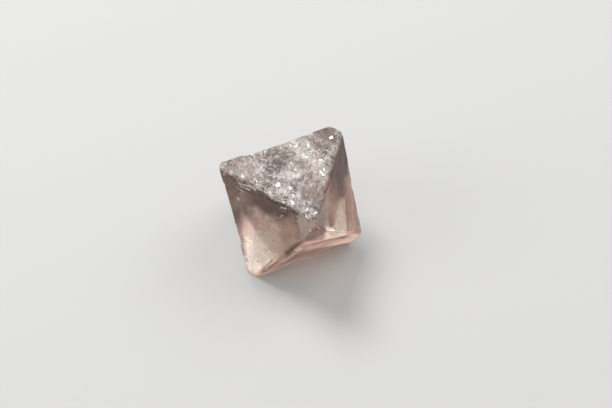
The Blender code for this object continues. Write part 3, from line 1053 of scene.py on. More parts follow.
class ShardGroup(ShaderGroup):
    """Gives a surface small flat shards, each tilted its own way and with its own tone from 0 to 1."""

    NAME = "cleavage shards"
    INPUTS = {"Point": ShaderGroup.VECTOR, "Size": ShaderGroup.NUMBER}
    OUTPUTS = ("Height", "Tone")

    @classmethod
    def results(cls, nodes: Nodes, given: Sockets) -> tuple[Socket, ...]:
        """Slopes each cell by its own colour.

        Args:
            nodes: The group's nodes.
            given: The group's inputs.

        Returns:
            The sockets with the height and the tone.
        """
        shrunk = nodes.scaled(given["Point"], nodes.math("DIVIDE", 1.0, given["Size"]))
        cells = nodes.cells(shrunk, 1.0)
        away = nodes.vector("SUBTRACT", shrunk, cells.outputs["Position"])
        tilt = nodes.vector("SUBTRACT", cells.outputs["Color"], (0.5, 0.5, 0.5))
        height = nodes.times(nodes.dot(away, tilt), given["Size"])
        return height, nodes.along("X", cells.outputs["Color"])


class HairlineGroup(ShaderGroup):
    """Draws thin hairline cracks that wander over about Size. Width is a share of the noise they follow."""

    NAME = "hairline cracks"
    INPUTS = {"Point": ShaderGroup.VECTOR, "Size": ShaderGroup.NUMBER, "Width": ShaderGroup.NUMBER}
    OUTPUTS = ("Line",)
    GRAIN: ClassVar[Grain] = (1.0, 3.0, 0.4)
    EDGE: ClassVar[Span] = (1.0, 0.3)

    @classmethod
    def results(cls, nodes: Nodes, given: Sockets) -> tuple[Socket, ...]:
        """Draws a line wherever the noise is near its middle.

        Args:
            nodes: The group's nodes.
            given: The group's inputs.

        Returns:
            The socket with the cracks: 1 on a crack and 0 elsewhere.
        """
        shrunk = nodes.scaled(given["Point"], nodes.math("DIVIDE", 1.0, given["Size"]))
        off = nodes.math("ABSOLUTE", nodes.minus(nodes.noise(shrunk, *cls.GRAIN), 0.5))
        return (nodes.rise(nodes.math("DIVIDE", off, given["Width"]), *cls.EDGE),)


class StriationGroup(ShaderGroup):
    """Draws fine parallel ridges along one direction, about Size apart, as cleavage leaves them."""

    NAME = "cleavage striations"
    INPUTS = dict.fromkeys(("Point", "Along", "Across"), ShaderGroup.VECTOR) | {"Size": ShaderGroup.NUMBER}
    OUTPUTS = ("Height",)
    GRAIN: ClassVar[Grain] = (1.0, 3.0, 0.3)
    STRETCH: ClassVar[float] = 0.10

    @classmethod
    def results(cls, nodes: Nodes, given: Sockets) -> tuple[Socket, ...]:
        """Draws noise out along the ridges.

        Args:
            nodes: The group's nodes.
            given: The group's inputs.

        Returns:
            The socket with the height.
        """
        shrink = nodes.math("DIVIDE", 1.0, given["Size"])
        run = nodes.times(nodes.dot(given["Point"], given["Along"]), shrink, cls.STRETCH)
        aside = nodes.times(nodes.dot(given["Point"], given["Across"]), shrink)
        ridges = nodes.noise(nodes.add("CombineXYZ", aside, run).outputs[0], *cls.GRAIN)
        return (nodes.times(nodes.minus(ridges, 0.5), given["Size"]),)


class PatchGroup(ShaderGroup):
    """Fills a patch of a face inside up to four straight borders, which waver."""

    NAME = "straight-edged patch"
    BORDERS: ClassVar[int] = 4
    WIDEST: ClassVar[float] = 100.0
    INPUTS = (
        {"Point": ShaderGroup.VECTOR}
        | dict.fromkeys(("Waver", "Softness", "Strength", "Cover"), ShaderGroup.NUMBER)
        | {f"Inward {border}": ShaderGroup.VECTOR for border in range(BORDERS)}
        | {f"Reach {border}": ShaderGroup.NUMBER for border in range(BORDERS)}
    )
    OUTPUTS = ("Share",)

    @classmethod
    def results(cls, nodes: Nodes, given: Sockets) -> tuple[Socket, ...]:
        """Finds how far inside the nearest border the point lies, and lets the share rise with it.

        Args:
            nodes: The group's nodes.
            given: The group's inputs.

        Returns:
            The socket with the share.
        """
        inside = cls.WIDEST
        for border in range(cls.BORDERS):
            place = nodes.dot(given["Point"], given[f"Inward {border}"])
            inside = nodes.math("MINIMUM", inside, nodes.minus(place, given[f"Reach {border}"]))
        inside = nodes.plus(inside, given["Waver"])
        soft = given["Softness"]
        share = nodes.rise(inside, nodes.times(soft, -1.0), soft, 0.0, given["Strength"])
        return (nodes.times(share, given["Cover"]),)


class StoneNodes(Nodes):
    """The shader nodes of a material of the stone, which all read one point, in millimetres."""

    FACE_SKIN: ClassVar[Span] = (0.9, 0.3)

    def __init__(self, tree: bpy.types.NodeTree) -> None:
        """Works in this tree, on the point that is shaded."""
        super().__init__(tree)
        self.point = self.vector("MULTIPLY", self.add("TexCoord").outputs["Object"], (1 / MM,) * 3)

    def grain(self, grain: Grain) -> Socket:
        """Noise from 0 to 1 at the point."""
        return self.noise(self.point, *grain)

    def under(self, face: Face) -> Socket:
        """How deep the point lies under a face, in millimetres."""
        reach = (face.reach + face.normal.dot(CENTRE)) / MM
        return DepthGroup.place(self, {"Point": self.point, "Normal": face.normal, "Reach": reach})[0]

    def on(self, face: Face) -> Socket:
        """Tells whether the point lies on a face: 1 there, 0 elsewhere."""
        return self.rise(self.under(face), *self.FACE_SKIN)

    def around(self, spot: Spot, span: Span, strength: float = 1.0, waver: Value = 0.0) -> Socket:
        """Lets a share rise with the distance from a spot of the top face.

        Args:
            spot: The spot.
            span: The distances at which the share starts to rise, and at which it is full.
            strength: The full share.
            waver: How much further away the point is taken to be.

        Returns:
            The socket with the share.
        """
        values = {"Point": self.point, "Centre": (*spot, 0.0), "Waver": waver}
        return RoundGroup.place(self, values | {"From": span[0], "To": span[1], "Strength": strength})[0]

    def shards(self, size: float, point: Socket | None = None) -> tuple[Socket, ...]:
        """The height and the tone of shards of one size, at the point or at another one."""
        return ShardGroup.place(self, {"Point": self.point if point is None else point, "Size": size})

    def cracks(self, size: float, width: float) -> Socket:
        """Hairline cracks that wander over this size: 1 on a crack, 0 elsewhere."""
        return HairlineGroup.place(self, {"Point": self.point, "Size": size, "Width": width})[0]

    def ridges(self, along: Vector, face: Face, size: float) -> Socket:
        """Draws fine ridges on a face.

        Args:
            along: The direction that they run in.
            face: The face.
            size: How far apart they are, in millimetres.

        Returns:
            The socket with their height, in millimetres.
        """
        across = face.normal.cross(along).normalized()
        values = {"Point": self.point, "Along": along.normalized(), "Across": across, "Size": size}
        return StriationGroup.place(self, values)[0]

    def patch(self, facet: Facet, waver: Value, cover: Value) -> Socket:
        """Finds how much of a straight-edged patch there is at the point.

        Args:
            facet: The patch.
            waver: How far its borders waver here, in millimetres.
            cover: 1 on the patch's face, 0 elsewhere.

        Returns:
            The socket with the patch's share, from 0 to its strength.
        """
        values = {"Point": self.point, "Waver": waver, "Cover": cover}
        values |= {"Softness": facet.softness, "Strength": facet.strength}
        borders = facet.borders()
        for border in range(PatchGroup.BORDERS):
            inward, reach = borders[min(border, len(borders) - 1)]
            values |= {f"Inward {border}": inward, f"Reach {border}": reach}
        return PatchGroup.place(self, values)[0]


def new_material(name: str) -> tuple[bpy.types.Material, bpy.types.Node]:
    """Makes a material.

    Args:
        name: Its name.

    Returns:
        The material and its main shader.
    """
    made = bpy.data.materials.new(name)
    made.use_nodes = True
    return made, made.node_tree.nodes["Principled BSDF"]


# ---------------------------------------------------------------- finishes
class Measure(Enum):
    """What a zone of colour goes by at each point of its face, in millimetres or as a share."""

    DEPTH = "depth under the top face, swaying"
    EAST = "place along X"
    NORTH = "place along Y, swaying a little"
    HEIGHT = "place along Z"
    FAR = "share of the face's far end"
    NEAR = "share of the face's near end"
    FRONT_EDGE = "distance from the edge with the front under face, swaying"
    OUTER_EDGE = "distance from the face's outer edge, swaying a little"
    OUTER_RIM = "the same distance, swaying more"
    STREAKS = "noise that is drawn out along an edge"


@dataclass(frozen=True)
class Zone:
    """A zone of colour, which covers by its strength where each measure is at the end of its span."""

    tone: Tone
    strength: float
    spans: tuple[tuple[Measure, Span], ...]


# Painted light and painted shade on the left face: dark brown under its top edge, olive, rose and ash
# between, drab near its outer edge high up, and cream deep down and along its outer rim.
LEFT_LIGHT_AND_SHADE = (
    Zone(Tone.CREAM, 1.0, ((Measure.DEPTH, (5.5, 12.0)),)),
    Zone(Tone.OLIVE, 1.0, ((Measure.DEPTH, (7.0, 4.0)),)),
    Zone(Tone.ROSE, 0.35, ((Measure.EAST, (-4.0, 0.5)), (Measure.DEPTH, (12.0, 8.0)))),
    Zone(Tone.BROWN, 1.0, ((Measure.DEPTH, (5.6, 2.6)), (Measure.FAR, (0.0, 1.0, 1.0, 0.5)))),
    Zone(Tone.ASH, 0.20, (
        (Measure.FRONT_EDGE, (4.5, 2.5)), (Measure.DEPTH, (11.0, 7.0)), (Measure.DEPTH, (1.5, 3.5)))),
    Zone(Tone.DRAB, 0.85, ((Measure.OUTER_EDGE, (4.4, 0.6)), (Measure.DEPTH, (9.5, 5.5)))),
    Zone(Tone.CREAM, 1.0, ((Measure.OUTER_RIM, (3.2, 0.4)), (Measure.DEPTH, (8.0, 12.5, 0.0, 0.7)))),
)
# Painted light and painted shade on the right face: peach deep down, and umber near its top edge towards its
# far end.
RIGHT_LIGHT_AND_SHADE = (
    Zone(Tone.PEACH, 1.0, ((Measure.DEPTH, (7.5, 11.0)),)),
    Zone(Tone.UMBER, 1.0, ((Measure.NORTH, (-6.0, 0.5)), (Measure.DEPTH, (9.5, 4.5)))),
)
# Painted light and painted shade on the front under face: dark wine and light cream streaks along its edge
# with the left face, and peach low down.
UNDER_LIGHT_AND_SHADE = (
    Zone(Tone.WINE, 0.9, ((Measure.EAST, (3.4, 0.6)), (Measure.STREAKS, (0.50, 0.42)))),
    Zone(Tone.CREAM, 1.0, ((Measure.STREAKS, (0.56, 0.64)), (Measure.NEAR, (0.0, 1.0, 0.35, 1.0)))),
    Zone(Tone.PEACH, 1.0, ((Measure.HEIGHT, (2.6, 0.8)),)),
)


@dataclass(frozen=True)
class StraightPatches:
    """The straight-edged patches on some faces, most of them painted reflections and painted shade. A
    streak's borders waver less than a patch's.
    """

    facets: tuple[Facet, ...]
    wobble: Grain = (0.9, 5.0, 0.6)
    waver: Span = (0.3, 0.7, -0.40, 0.40)
    streak_waver: float = 0.12

    def over(self, nodes: StoneNodes, tone: Socket) -> Socket:
        """Lays the patches over a colour.

        Args:
            nodes: The material's nodes.
            tone: The colour under the patches.

        Returns:
            The colour's socket.
        """
        waver = nodes.rise(nodes.grain(self.wobble), *self.waver)
        narrow = nodes.times(waver, self.streak_waver)
        faces = dict.fromkeys(facet.on for facet in self.facets)
        covers = {face: nodes.on(face) for face in faces}
        for facet in self.facets:
            share = nodes.patch(facet, narrow if facet.narrow else waver, covers[facet.on])
            tone = nodes.blend(share, tone, facet.tone.rgba)
        return tone


@dataclass(frozen=True)
class BodyColour:
    """The colour of the stone's sides: a pale body, with zones and patches of painted light and shade on the
    three front faces.
    """

    drift: Grain = (3.6, 3.0, 0.6)
    sway: float = 6.0
    small_sway: float = 0.4
    cloud: Grain = (1.7, 4.0, 1.2)
    cloudy: Span = (0.35, 0.75)
    mottle: Grain = (0.9, 5.0, 1.0)
    mottled: Span = (0.34, 0.62, 0.74, 1.0)
    left_far: Span = (-5.0, -10.0)
    left_far_drop: float = 2.5
    left_outer_sway: float = 0.3
    crack_size: float = 1.9
    crack_width: float = 0.014
    crack_strength: float = 0.75
    crack_fields: Grain = (2.4, 2.0)
    cracked: Span = (0.50, 0.58)
    rim: Span = (4.4, 2.2)
    rim_depth: Span = (4.0, 8.0, 0.0, 0.85)
    drawn_out_grain: Grain = (1.0, 4.0, 0.4)
    rim_stretch: tuple[float, float] = (1.6, 0.14)
    rim_grained: Span = (0.40, 0.56)
    under_near: Span = (3.4, 0.6)
    under_stretch: tuple[float, float] = (1.3, 0.12)
    speck_spacing: float = 1.5
    speck_sizes: Span = (0.70, 1.0, 0.0, 0.16)
    speck_grain: Grain = (0.25, 3.0)
    speck_waver: Span = (0.3, 0.7, -0.05, 0.05)
    speck_edge: Span = (0.0, 0.04, 0.0, 0.85)

    def build(self, nodes: StoneNodes, top: Socket) -> Socket:
        """Builds the colour of everything but the top face.

        Args:
            nodes: The material's nodes.
            top: How deep it lies under the top face, in millimetres.

        Returns:
            The colour's socket.
        """
        sway = nodes.times(nodes.minus(nodes.grain(self.drift), 0.5), self.sway)
        depth = nodes.plus(top, sway)
        cloudy = nodes.rise(nodes.grain(self.cloud), *self.cloudy)
        tone = nodes.blend(cloudy, Tone.PALE.rgba, Tone.CREAM.rgba)
        tone = nodes.blend(nodes.on(Face.LEFT), tone, self.left(nodes, depth, sway))
        tone = nodes.blend(nodes.on(Face.RIGHT), tone, self.right(nodes, depth, sway))
        tone = nodes.blend(nodes.on(Face.FRONT_UNDER), tone, self.under(nodes))
        tone = nodes.scaled(tone, nodes.rise(nodes.grain(self.mottle), *self.mottled))
        tone = StraightPatches(SIDE_LIGHT_SHADE_AND_MARKS).over(nodes, tone)
        return nodes.blend(self.specks(nodes), tone, Tone.SPECK.rgba)

    def zoned(
        self, nodes: StoneNodes, base: Tone, zones: tuple[Zone, ...], measures: dict[Measure, Socket]
    ) -> Socket:
        """Lays a face's zones over its base colour.

        Args:
            nodes: The material's nodes.
            base: The base colour.
            zones: The zones.
            measures: The measures that they go by.

        Returns:
            The colour's socket.
        """
        tone = base.rgba
        for zone in zones:
            shares = [nodes.rise(measures[measure], *span) for measure, span in zone.spans]
            tone = nodes.blend(nodes.times(*shares, zone.strength), tone, zone.tone.rgba)
        return tone

    def drawn_out(self, nodes: StoneNodes, aside: Socket, stretch: tuple[float, float]) -> Socket:
        """Adds noise that changes faster away from an edge than up along it.

        Args:
            nodes: The material's nodes.
            aside: How far the point lies from the edge, in millimetres.
            stretch: How fast the noise changes away from the edge, and upwards.

        Returns:
            The noise's socket, from 0 to 1.
        """
        height = nodes.times(nodes.along("Z", nodes.point), stretch[1])
        place = nodes.add("CombineXYZ", nodes.times(aside, stretch[0]), height)
        return nodes.noise(place.outputs[0], *self.drawn_out_grain)

    def left(self, nodes: StoneNodes, depth: Socket, sway: Socket) -> Socket:
        """The left face's colour, painted light and shade: brown under its top edge, then olive and pink,
        then cream, with cracks.

        Args:
            nodes: The material's nodes.
            depth: The depth under the top face, swaying.
            sway: How much it sways, in millimetres.

        Returns:
            The colour's socket.
        """
        east = nodes.along("X", nodes.point)
        far = nodes.rise(east, *self.left_far)
        outer = nodes.under(Face.LEFT_UNDER)
        measures = {
            Measure.DEPTH: nodes.minus(depth, nodes.times(far, self.left_far_drop)),
            Measure.EAST: east,
            Measure.FAR: far,
            Measure.FRONT_EDGE: nodes.plus(nodes.under(Face.FRONT_UNDER), sway),
            Measure.OUTER_EDGE: nodes.plus(outer, nodes.times(sway, self.left_outer_sway)),
            Measure.OUTER_RIM: nodes.plus(outer, sway),
        }
        # Painted light and painted shade by depth under the top face and by nearness to the edges.
        tone = self.zoned(nodes, Tone.PINK, LEFT_LIGHT_AND_SHADE, measures)
        cracks = nodes.cracks(self.crack_size, self.crack_width)
        cracked = nodes.rise(nodes.grain(self.crack_fields), *self.cracked)
        return nodes.blend(nodes.times(cracks, cracked, self.crack_strength), tone, Tone.CREAM.rgba)

    def right(self, nodes: StoneNodes, depth: Socket, sway: Socket) -> Socket:
        """The right face's colour, painted light and shade: rose, brown towards its far end, with a grained,
        lit rim low down.

        Args:
            nodes: The material's nodes.
            depth: The depth under the top face, swaying.
            sway: How much it sways, in millimetres.

        Returns:
            The colour's socket.
        """
        sway = nodes.times(sway, self.small_sway)
        measures = {Measure.DEPTH: depth, Measure.NORTH: nodes.plus(nodes.along("Y", nodes.point), sway)}
        tone = self.zoned(nodes, Tone.ROSE, RIGHT_LIGHT_AND_SHADE, measures)
        # The grained rim low down is painted light.
        inward = nodes.plus(nodes.under(Face.RIGHT_UNDER), sway)
        grain = self.drawn_out(nodes, inward, self.rim_stretch)
        rim = nodes.blend(nodes.rise(grain, *self.rim_grained), Tone.ROSE.rgba, Tone.PEACH.rgba)
        share = nodes.times(nodes.rise(inward, *self.rim), nodes.rise(depth, *self.rim_depth))
        return nodes.blend(share, tone, rim)

    def under(self, nodes: StoneNodes) -> Socket:
        """The front under face's colour: pink, with dark and light streaks of painted shade and light along
        its upper edge.

        Args:
            nodes: The material's nodes.

        Returns:
            The colour's socket.
        """
        east = nodes.along("X", nodes.point)
        measures = {
            Measure.EAST: east,
            Measure.HEIGHT: nodes.along("Z", nodes.point),
            Measure.NEAR: nodes.rise(east, *self.under_near),
            Measure.STREAKS: self.drawn_out(nodes, nodes.under(Face.LEFT), self.under_stretch),
        }
        return self.zoned(nodes, Tone.BLUSH, UNDER_LIGHT_AND_SHADE, measures)

    def specks(self, nodes: StoneNodes) -> Socket:
        """Finds a few small dark specks of dirt.

        Args:
            nodes: The material's nodes.

        Returns:
            The socket with the specks: their strength in a speck, 0 elsewhere.
        """
        cells = nodes.cells(nodes.point, self.speck_spacing)
        size = nodes.rise(nodes.along("X", cells.outputs["Color"]), *self.speck_sizes)
        waver = nodes.rise(nodes.grain(self.speck_grain), *self.speck_waver)
        inward = nodes.minus(size, nodes.plus(cells.outputs["Distance"], waver))
        return nodes.rise(inward, *self.speck_edge)


@dataclass(frozen=True)
class HacklyTop:
    """The hackly, frosted top face: how white it is, partly frosting and partly a painted sheen, and where it
    shines.
    """

    ragged: Grain = (0.8, 5.0, 0.8)
    ragged_span: Span = (0.25, 0.75)
    band_waver: float = 1.3
    band_core: float = 0.3
    band_whiteness: float = 0.74
    haze: Grain = (2.4, 3.0, 0.8)
    hazy: Span = (0.40, 0.62, -0.08, 0.26)
    broad_ridges: float = 1.3
    broad: Span = (-0.16, 0.16, -0.16, 0.30)
    fine_ridges: float = 0.30
    fine: Span = (0.016, 0.034)
    crack_size: float = 0.75
    crack_width: float = 0.050
    grit: Grain = (0.17, 3.0)
    gritty: Span = (0.57, 0.63)
    grit_fields: Grain = (1.4, 2.0)
    grit_strewn: Span = (0.42, 0.58, 0.1, 1.0)
    grit_whiteness: float = 0.6
    lines_in_band: Span = (0.0, 0.8, 0.50, 0.85)
    splinter_slant: float = -0.55
    splinter_sizes: tuple[tuple[float, float], ...] = ((0.34, 0.38), (0.95, 0.62))
    splinter_contrast: float = 0.85
    calm_edge: Span = (0.6, 1.1)
    calm_detail: float = 0.22
    wisps: Grain = (1.2, 5.0, 1.0)
    wisp_waver: Span = (0.30, 0.70, 1.0, -1.0)
    cloud_core: float = 0.2
    glint_edge: Span = (0.05, -0.10)

    def frost(self, nodes: StoneNodes) -> Socket:
        """How white the top face is, partly frosting and partly a painted sheen: most in the bands and the
        clouds, with splinters, lines and grit.

        Args:
            nodes: The material's nodes.

        Returns:
            The share's socket, from 0 to 1.
        """
        ragged = nodes.grain(self.ragged)
        band = self.banded(nodes, ragged)
        soft = nodes.rise(nodes.grain(self.haze), *self.hazy)
        broad = nodes.ridges(RIGHT_EDGE, Face.TOP, self.broad_ridges)
        soft = nodes.plus(soft, nodes.rise(broad, *self.broad))
        soft = nodes.highest(soft, nodes.times(band, self.band_whiteness), self.milky(nodes))
        detail = nodes.plus(self.lines(nodes, band), self.splinters(nodes))
        waver = nodes.rise(ragged, *self.ragged_span, -self.band_waver, self.band_waver)
        for patch in CALM_PATCHES:
            span = tuple(patch.radius * share for share in self.calm_edge)
            outside = nodes.around(patch.centre, span, waver=waver)
            detail = nodes.times(detail, nodes.rise(outside, 0.0, 1.0, self.calm_detail, 1.0))
            soft = nodes.mix(outside, patch.whiteness, soft)
        return nodes.add("Clamp", nodes.plus(soft, detail)).outputs[0]

    def lines(self, nodes: StoneNodes, band: Socket) -> Socket:
        """The fine white lines and grit, which are strongest in the hackly bands.

        Args:
            nodes: The material's nodes.
            band: How far into a hackly band it lies.

        Returns:
            The share's socket.
        """
        cracks = nodes.cracks(self.crack_size, self.crack_width)
        ridges = nodes.ridges(RIGHT_EDGE, Face.TOP, self.fine_ridges)
        grit = nodes.rise(nodes.grain(self.grit), *self.gritty)
        strewn = nodes.rise(nodes.grain(self.grit_fields), *self.grit_strewn)
        grit = nodes.times(grit, strewn, self.grit_whiteness)
        lines = nodes.highest(cracks, nodes.rise(ridges, *self.fine), grit)
        return nodes.times(lines, nodes.rise(band, *self.lines_in_band))

    def splinters(self, nodes: StoneNodes) -> Socket:
        """How much lighter or darker each long splinter is.

        Args:
            nodes: The material's nodes.

        Returns:
            The socket with the difference, above or below 0.
        """
        along = tuple(LEFT_EDGE.normalized())
        pull = nodes.scaled(along, nodes.times(nodes.dot(nodes.point, along), self.splinter_slant))
        narrow = nodes.vector("ADD", nodes.point, pull)
        tones = [
            nodes.times(nodes.shards(size, narrow)[1], share)
            for size, share in self.splinter_sizes
        ]
        return nodes.times(nodes.minus(nodes.plus(*tones), 0.5), self.splinter_contrast)

    def banded(self, nodes: StoneNodes, ragged: Socket) -> Socket:
        """How far into a hackly band a point lies.

        Args:
            nodes: The material's nodes.
            ragged: Rough noise from 0 to 1, for the band's border.

        Returns:
            The share's socket, from 0 to the band's strength.
        """
        waver = nodes.rise(ragged, *self.ragged_span, self.band_waver, -self.band_waver)
        shares = []
        for band in HACKLE_BANDS:
            low, high = Vector((*band.start, 0.0)), Vector((*band.end, 0.0))
            along = (high - low).normalized()
            half = (high - low).length / 2
            away = nodes.vector("SUBTRACT", nodes.point, low)
            across = nodes.dot(away, (-along.y, along.x, 0.0))
            past = nodes.minus(nodes.math("ABSOLUTE", nodes.minus(nodes.dot(away, along), half)), half)
            past = nodes.highest(past, 0.0)
            off = nodes.math("SQRT", nodes.plus(nodes.times(across, across), nodes.times(past, past)))
            off = nodes.plus(off, waver)
            shares.append(nodes.rise(off, band.width, band.width * self.band_core, 0.0, band.strength))
        return nodes.highest(*shares)

    def milky(self, nodes: StoneNodes) -> Socket:
        """How milky the stone is just under its top face.

        Args:
            nodes: The material's nodes.

        Returns:
            The share's socket, from 0 to 1.
        """
        waver = nodes.rise(nodes.grain(self.wisps), *self.wisp_waver)
        clouds = [
            nodes.around(cloud.centre, (cloud.radius, cloud.radius * self.cloud_core), cloud.whiteness, waver)
            for cloud in CLOUDS
        ]
        return nodes.highest(*clouds)

    def shine(self, nodes: StoneNodes) -> Socket:
        """Finds the shining flats.

        Args:
            nodes: The material's nodes.

        Returns:
            The share's socket: 1 on a flat, 0 elsewhere.
        """
        rim, core = self.glint_edge
        flats = [
            nodes.around(glint.centre, (glint.radius + rim, glint.radius + core)) for glint in GLINTS
        ]
        return nodes.highest(*flats)


@dataclass(frozen=True)
class FluoriteFinish:
    """Cloudy fluorite: tinted through its thickness, with painted light and shade in zones and patches on its
    faces, frosted where it is hackly.
    """

    tint: Colour = (0.88, 0.77, 0.72, 1.0)
    density: float = 62.0
    clear: float = 0.72
    top_skin: Span = (0.55, 0.15)
    body: BodyColour = BodyColour()
    top: HacklyTop = HacklyTop()
    fine_shards: float = 0.22
    coarse_shards: float = 0.62
    side_patches: Grain = (1.3, 3.0, 0.5)
    side_roughness: Span = (0.3, 0.7, 0.04, 0.16)
    frost_roughness: Span = (0.0, 1.0, 0.09, 0.30)
    shard_roughness: float = 0.12
    shine_roughness: float = 0.25
    coat_shards: Span = (0.35, 0.7)
    coat_frost: Span = (0.40, 0.95)
    coat_ior: float = 1.9
    coat_roughness: float = 0.22
    bump_distance: float = 0.64 * MM
    top_ridges: tuple[float, float] = (0.28, 0.24)
    top_fields: Grain = (2.2, 2.0)
    top_fields_span: Span = (0.46, 0.54)
    top_ridge_height: float = 0.34
    shard_height: Span = (0.10, 0.85, 0.06, 1.0)
    scratch_size: float = 0.22
    scratch_height: float = 0.06
    side_shard_height: float = 0.03

    def colour(self, nodes: StoneNodes, top: Socket, on_top: Socket, frost: Socket) -> Socket:
        """The stone's colour, with its painted light and shade.

        Args:
            nodes: The material's nodes.
            top: How deep it lies under the top face, in millimetres.
            on_top: 1 on the top face, 0 elsewhere.
            frost: How white the top face is.

        Returns:
            The colour's socket.
        """
        # The top face: painted shade where it is clear, white where it is frosted, partly a painted sheen,
        # then its patches of painted reflection and shade.
        face = nodes.blend(frost, Tone.SHADE.rgba, Tone.FROST.rgba)
        face = StraightPatches(TOP_LIGHT_SHADE_AND_LINES).over(nodes, face)
        return nodes.blend(on_top, self.body.build(nodes, top), face)

    def roughness(
        self, nodes: StoneNodes, frost: Socket, shard: Socket, shine: Socket
    ) -> tuple[Socket, Socket]:
        """The roughness of the sides and of the top face.

        Args:
            nodes: The material's nodes.
            frost: How white the top face is.
            shard: The fine shards' tone.
            shine: 1 on a shining flat, 0 elsewhere.

        Returns:
            The two sockets.
        """
        side = nodes.rise(nodes.grain(self.side_patches), *self.side_roughness)
        shard = nodes.times(shard, self.shard_roughness)
        hackly = nodes.plus(nodes.rise(frost, *self.frost_roughness), shard)
        return side, nodes.times(hackly, nodes.rise(shine, 0.0, 1.0, 1.0, self.shine_roughness))

    def heights(
        self, nodes: StoneNodes, frost: Socket, shards: tuple[Socket, Socket], shine: Socket
    ) -> tuple[Socket, Socket]:
        """The fine relief of the sides and of the top face.

        Args:
            nodes: The material's nodes.
            frost: How white the top face is.
            shards: The heights of the fine and the coarse shards.
            shine: 1 on a shining flat, 0 elsewhere.

        Returns:
            The two sockets.
        """
        ridges = [
            nodes.ridges(edge, Face.TOP, size)
            for edge, size in zip((LEFT_EDGE, RIGHT_EDGE), self.top_ridges)
        ]
        field = nodes.rise(nodes.grain(self.top_fields), *self.top_fields_span)
        strength = nodes.times(nodes.rise(frost, *self.shard_height), nodes.rise(shine, 0.0, 1.0, 1.0, 0.0))
        top = nodes.times(nodes.plus(*shards), strength)
        top = nodes.plus(top, nodes.times(nodes.mix(field, *ridges), self.top_ridge_height))
        scratch = nodes.ridges(SCRATCHES, Face.LEFT, self.scratch_size)
        scratch = nodes.times(scratch, self.scratch_height)
        return nodes.plus(scratch, nodes.times(shards[0], self.side_shard_height)), top

    def material(self) -> bpy.types.Material:
        """Builds the material.

        Returns:
            The material.
        """
        made, shader = new_material("fluorite")
        nodes = StoneNodes(made.node_tree)
        top = nodes.under(Face.TOP)
        on_top = nodes.rise(top, *self.top_skin)
        frost = self.top.frost(nodes)
        shine = self.top.shine(nodes)
        fine, fine_tone = nodes.shards(self.fine_shards)
        coarse, coarse_tone = nodes.shards(self.coarse_shards)
        shader.inputs["Transmission Weight"].default_value = self.clear
        shader.inputs["IOR"].default_value = FLUORITE_IOR
        nodes.feed(shader.inputs["Base Color"], self.colour(nodes, top, on_top, frost))
        rough = nodes.mix(on_top, *self.roughness(nodes, frost, fine_tone, shine))
        nodes.feed(shader.inputs["Roughness"], rough)
        gloss = nodes.times(nodes.rise(coarse_tone, *self.coat_shards), nodes.rise(frost, *self.coat_frost))
        nodes.feed(shader.inputs["Coat Weight"], nodes.times(on_top, nodes.highest(gloss, shine)))
        shader.inputs["Coat IOR"].default_value = self.coat_ior
        shader.inputs["Coat Roughness"].default_value = self.coat_roughness
        bump = nodes.add("Bump")
        bump.inputs["Strength"].default_value = 1.0
        bump.inputs["Distance"].default_value = self.bump_distance
        relief = self.heights(nodes, frost, (fine, coarse), shine)
        nodes.feed(bump.inputs["Height"], nodes.mix(on_top, *relief))
        nodes.feed(shader.inputs["Normal"], bump.outputs["Normal"])
        absorb = nodes.add("VolumeAbsorption", self.tint, self.density)
        nodes.feed(made.node_tree.nodes["Material Output"].inputs["Volume"], absorb.outputs["Volume"])
        return made


@dataclass(frozen=True)
class VeilFinish:
    """Fine white cracks and bubbles, seen as a milky haze, and the white of the veils that are painted
    reflections.
    """

    tone: Colour = (0.98, 0.95, 0.92, 1.0)
    roughness: float = 0.6
    wisps: Grain = (0.35, 5.0, 1.0)
    wispy: Span = (0.36, 0.60, 0.15, 1.0)

    def material(self) -> bpy.types.Material:
        """Builds the material.

        Returns:
            The material.
        """
        made, shader = new_material("fluorite veil")
        nodes = StoneNodes(made.node_tree)
        wisps = nodes.rise(nodes.grain(self.wisps), *self.wispy)
        density = nodes.add("Attribute", attribute_name=VEIL_LAYER).outputs["Fac"]
        shader.inputs["Base Color"].default_value = self.tone
        shader.inputs["Roughness"].default_value = self.roughness
        nodes.feed(shader.inputs["Alpha"], nodes.times(density, wisps))
        return made


# ---------------------------------------------------------------- the studio
@dataclass(frozen=True)
class Softbox:
    """A square soft light that faces the stone, with its side in metres and its power in watts."""

    name: str
    compass: float
    lean: float
    side: float
    power: float
    DISTANCE: ClassVar[float] = 0.80

    def hang(self) -> None:
        """Hangs the light."""
        lamp = bpy.data.lights.new(self.name, "AREA")
        lamp.shape = "SQUARE"
        lamp.size = self.side
        lamp.energy = self.power
        hung = new_object(self.name, lamp)
        hung.location = heading(self.compass, self.lean) * self.DISTANCE
        hung.rotation_mode = "QUATERNION"
        hung.rotation_quaternion = (CENTRE - hung.location).to_track_quat("-Z", "Y")


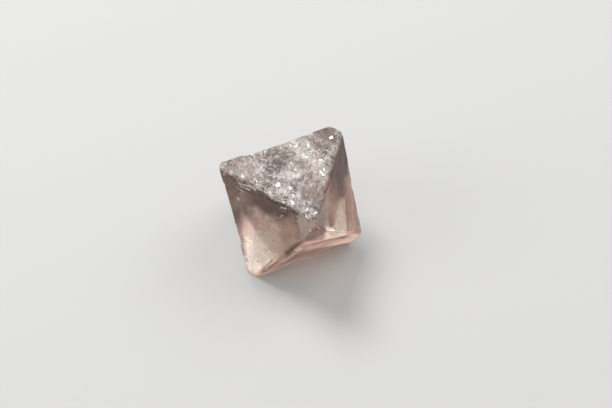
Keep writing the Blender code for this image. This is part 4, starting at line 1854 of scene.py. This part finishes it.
@dataclass(frozen=True)
class Studio:
    """The floor, the lights and the camera."""

    camera_lean: float = 53.766
    camera_distance: float = 224.5 * MM
    focal_pixels: float = 1280.88
    image_size: tuple[int, int] = (612, 408)
    stone_pixel: tuple[float, float] = (291.52, 202.58)
    sensor_width: float = 36.0
    nearest: float = 5.0 * MM
    floor_grey: float = 0.52
    floor_roughness: float = 0.9
    floor_size: float = 3.0
    floor_gap: float = 0.03 * MM
    room: Colour = (1.0, 0.99, 0.97, 1.0)
    room_strength: float = 0.55
    softboxes: tuple[Softbox, ...] = (
        Softbox("key", 122.0, 53.0, 0.30, 5.0),
        Softbox("side", -166.0, 25.0, 0.42, 1.5),
        Softbox("window", 33.0, 47.0, 0.50, 2.0),
    )
    max_bounces: int = 32
    clear_bounces: int = 24

    def floor(self) -> None:
        """Lays the pale floor, a hair under the stone, so that the air between them still mirrors."""
        shape = bmesh.new()
        bmesh.ops.create_grid(shape, x_segments=1, y_segments=1, size=self.floor_size)
        bmesh.ops.translate(shape, verts=shape.verts[:], vec=(0.0, 0.0, -self.floor_gap))
        ground = new_object("floor", new_mesh("floor", shape))
        paint, shader = new_material("floor")
        shader.inputs["Base Color"].default_value = (self.floor_grey,) * 3 + (1.0,)
        shader.inputs["Roughness"].default_value = self.floor_roughness
        ground.data.materials.append(paint)

    def lights(self) -> None:
        """Hangs the lights and sets the room's own soft light."""
        world = bpy.data.worlds.new("room")
        world.use_nodes = True
        glow = world.node_tree.nodes["Background"]
        glow.inputs["Color"].default_value = self.room
        glow.inputs["Strength"].default_value = self.room_strength
        bpy.context.scene.world = world
        for softbox in self.softboxes:
            softbox.hang()

    def camera(self) -> None:
        """Sets up the camera."""
        lean = math.radians(self.camera_lean)
        ahead = Vector((0.0, math.cos(lean), -math.sin(lean)))
        up = Vector((0.0, math.sin(lean), math.cos(lean)))
        width, height = self.image_size
        metres_per_pixel = self.camera_distance / self.focal_pixels
        aside = (self.stone_pixel[0] - width / 2) * metres_per_pixel
        above = (height / 2 - self.stone_pixel[1]) * metres_per_pixel
        lens = bpy.data.cameras.new("camera")
        lens.sensor_width = self.sensor_width
        lens.lens = self.sensor_width * self.focal_pixels / width
        lens.clip_start = self.nearest
        seen = new_object("camera", lens)
        seen.location = CENTRE - ahead * self.camera_distance - Vector((aside, 0.0, 0.0)) - up * above
        seen.rotation_mode = "QUATERNION"
        seen.rotation_quaternion = ahead.to_track_quat("-Z", "Y")
        bpy.context.scene.camera = seen

    def build(self) -> None:
        """Builds the studio and sets how light passes through clear things."""
        self.camera()
        self.floor()
        self.lights()
        scene = bpy.context.scene
        scene.view_settings.view_transform = "Standard"
        scene.cycles.max_bounces = self.max_bounces
        scene.cycles.glossy_bounces = self.clear_bounces
        scene.cycles.transmission_bounces = self.clear_bounces
        scene.cycles.transparent_max_bounces = self.clear_bounces


def main() -> None:
    """Builds the studio and the stone, and reports each piece."""
    logging.basicConfig(level=logging.INFO)
    Studio().build()
    stone = CrystalBody().build(FluoriteFinish().material())
    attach(stone, "root")
    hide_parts(NODE)
    log.info("%s: %d faces", stone.name, len(stone.data.polygons))
    milk = VeilFinish().material()
    for veil in VEILS:
        piece = veil.build(milk)
        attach(piece, "root")
        log.info("%s: %d faces", piece.name, len(piece.data.polygons))


if __name__ == "__main__":
    main()
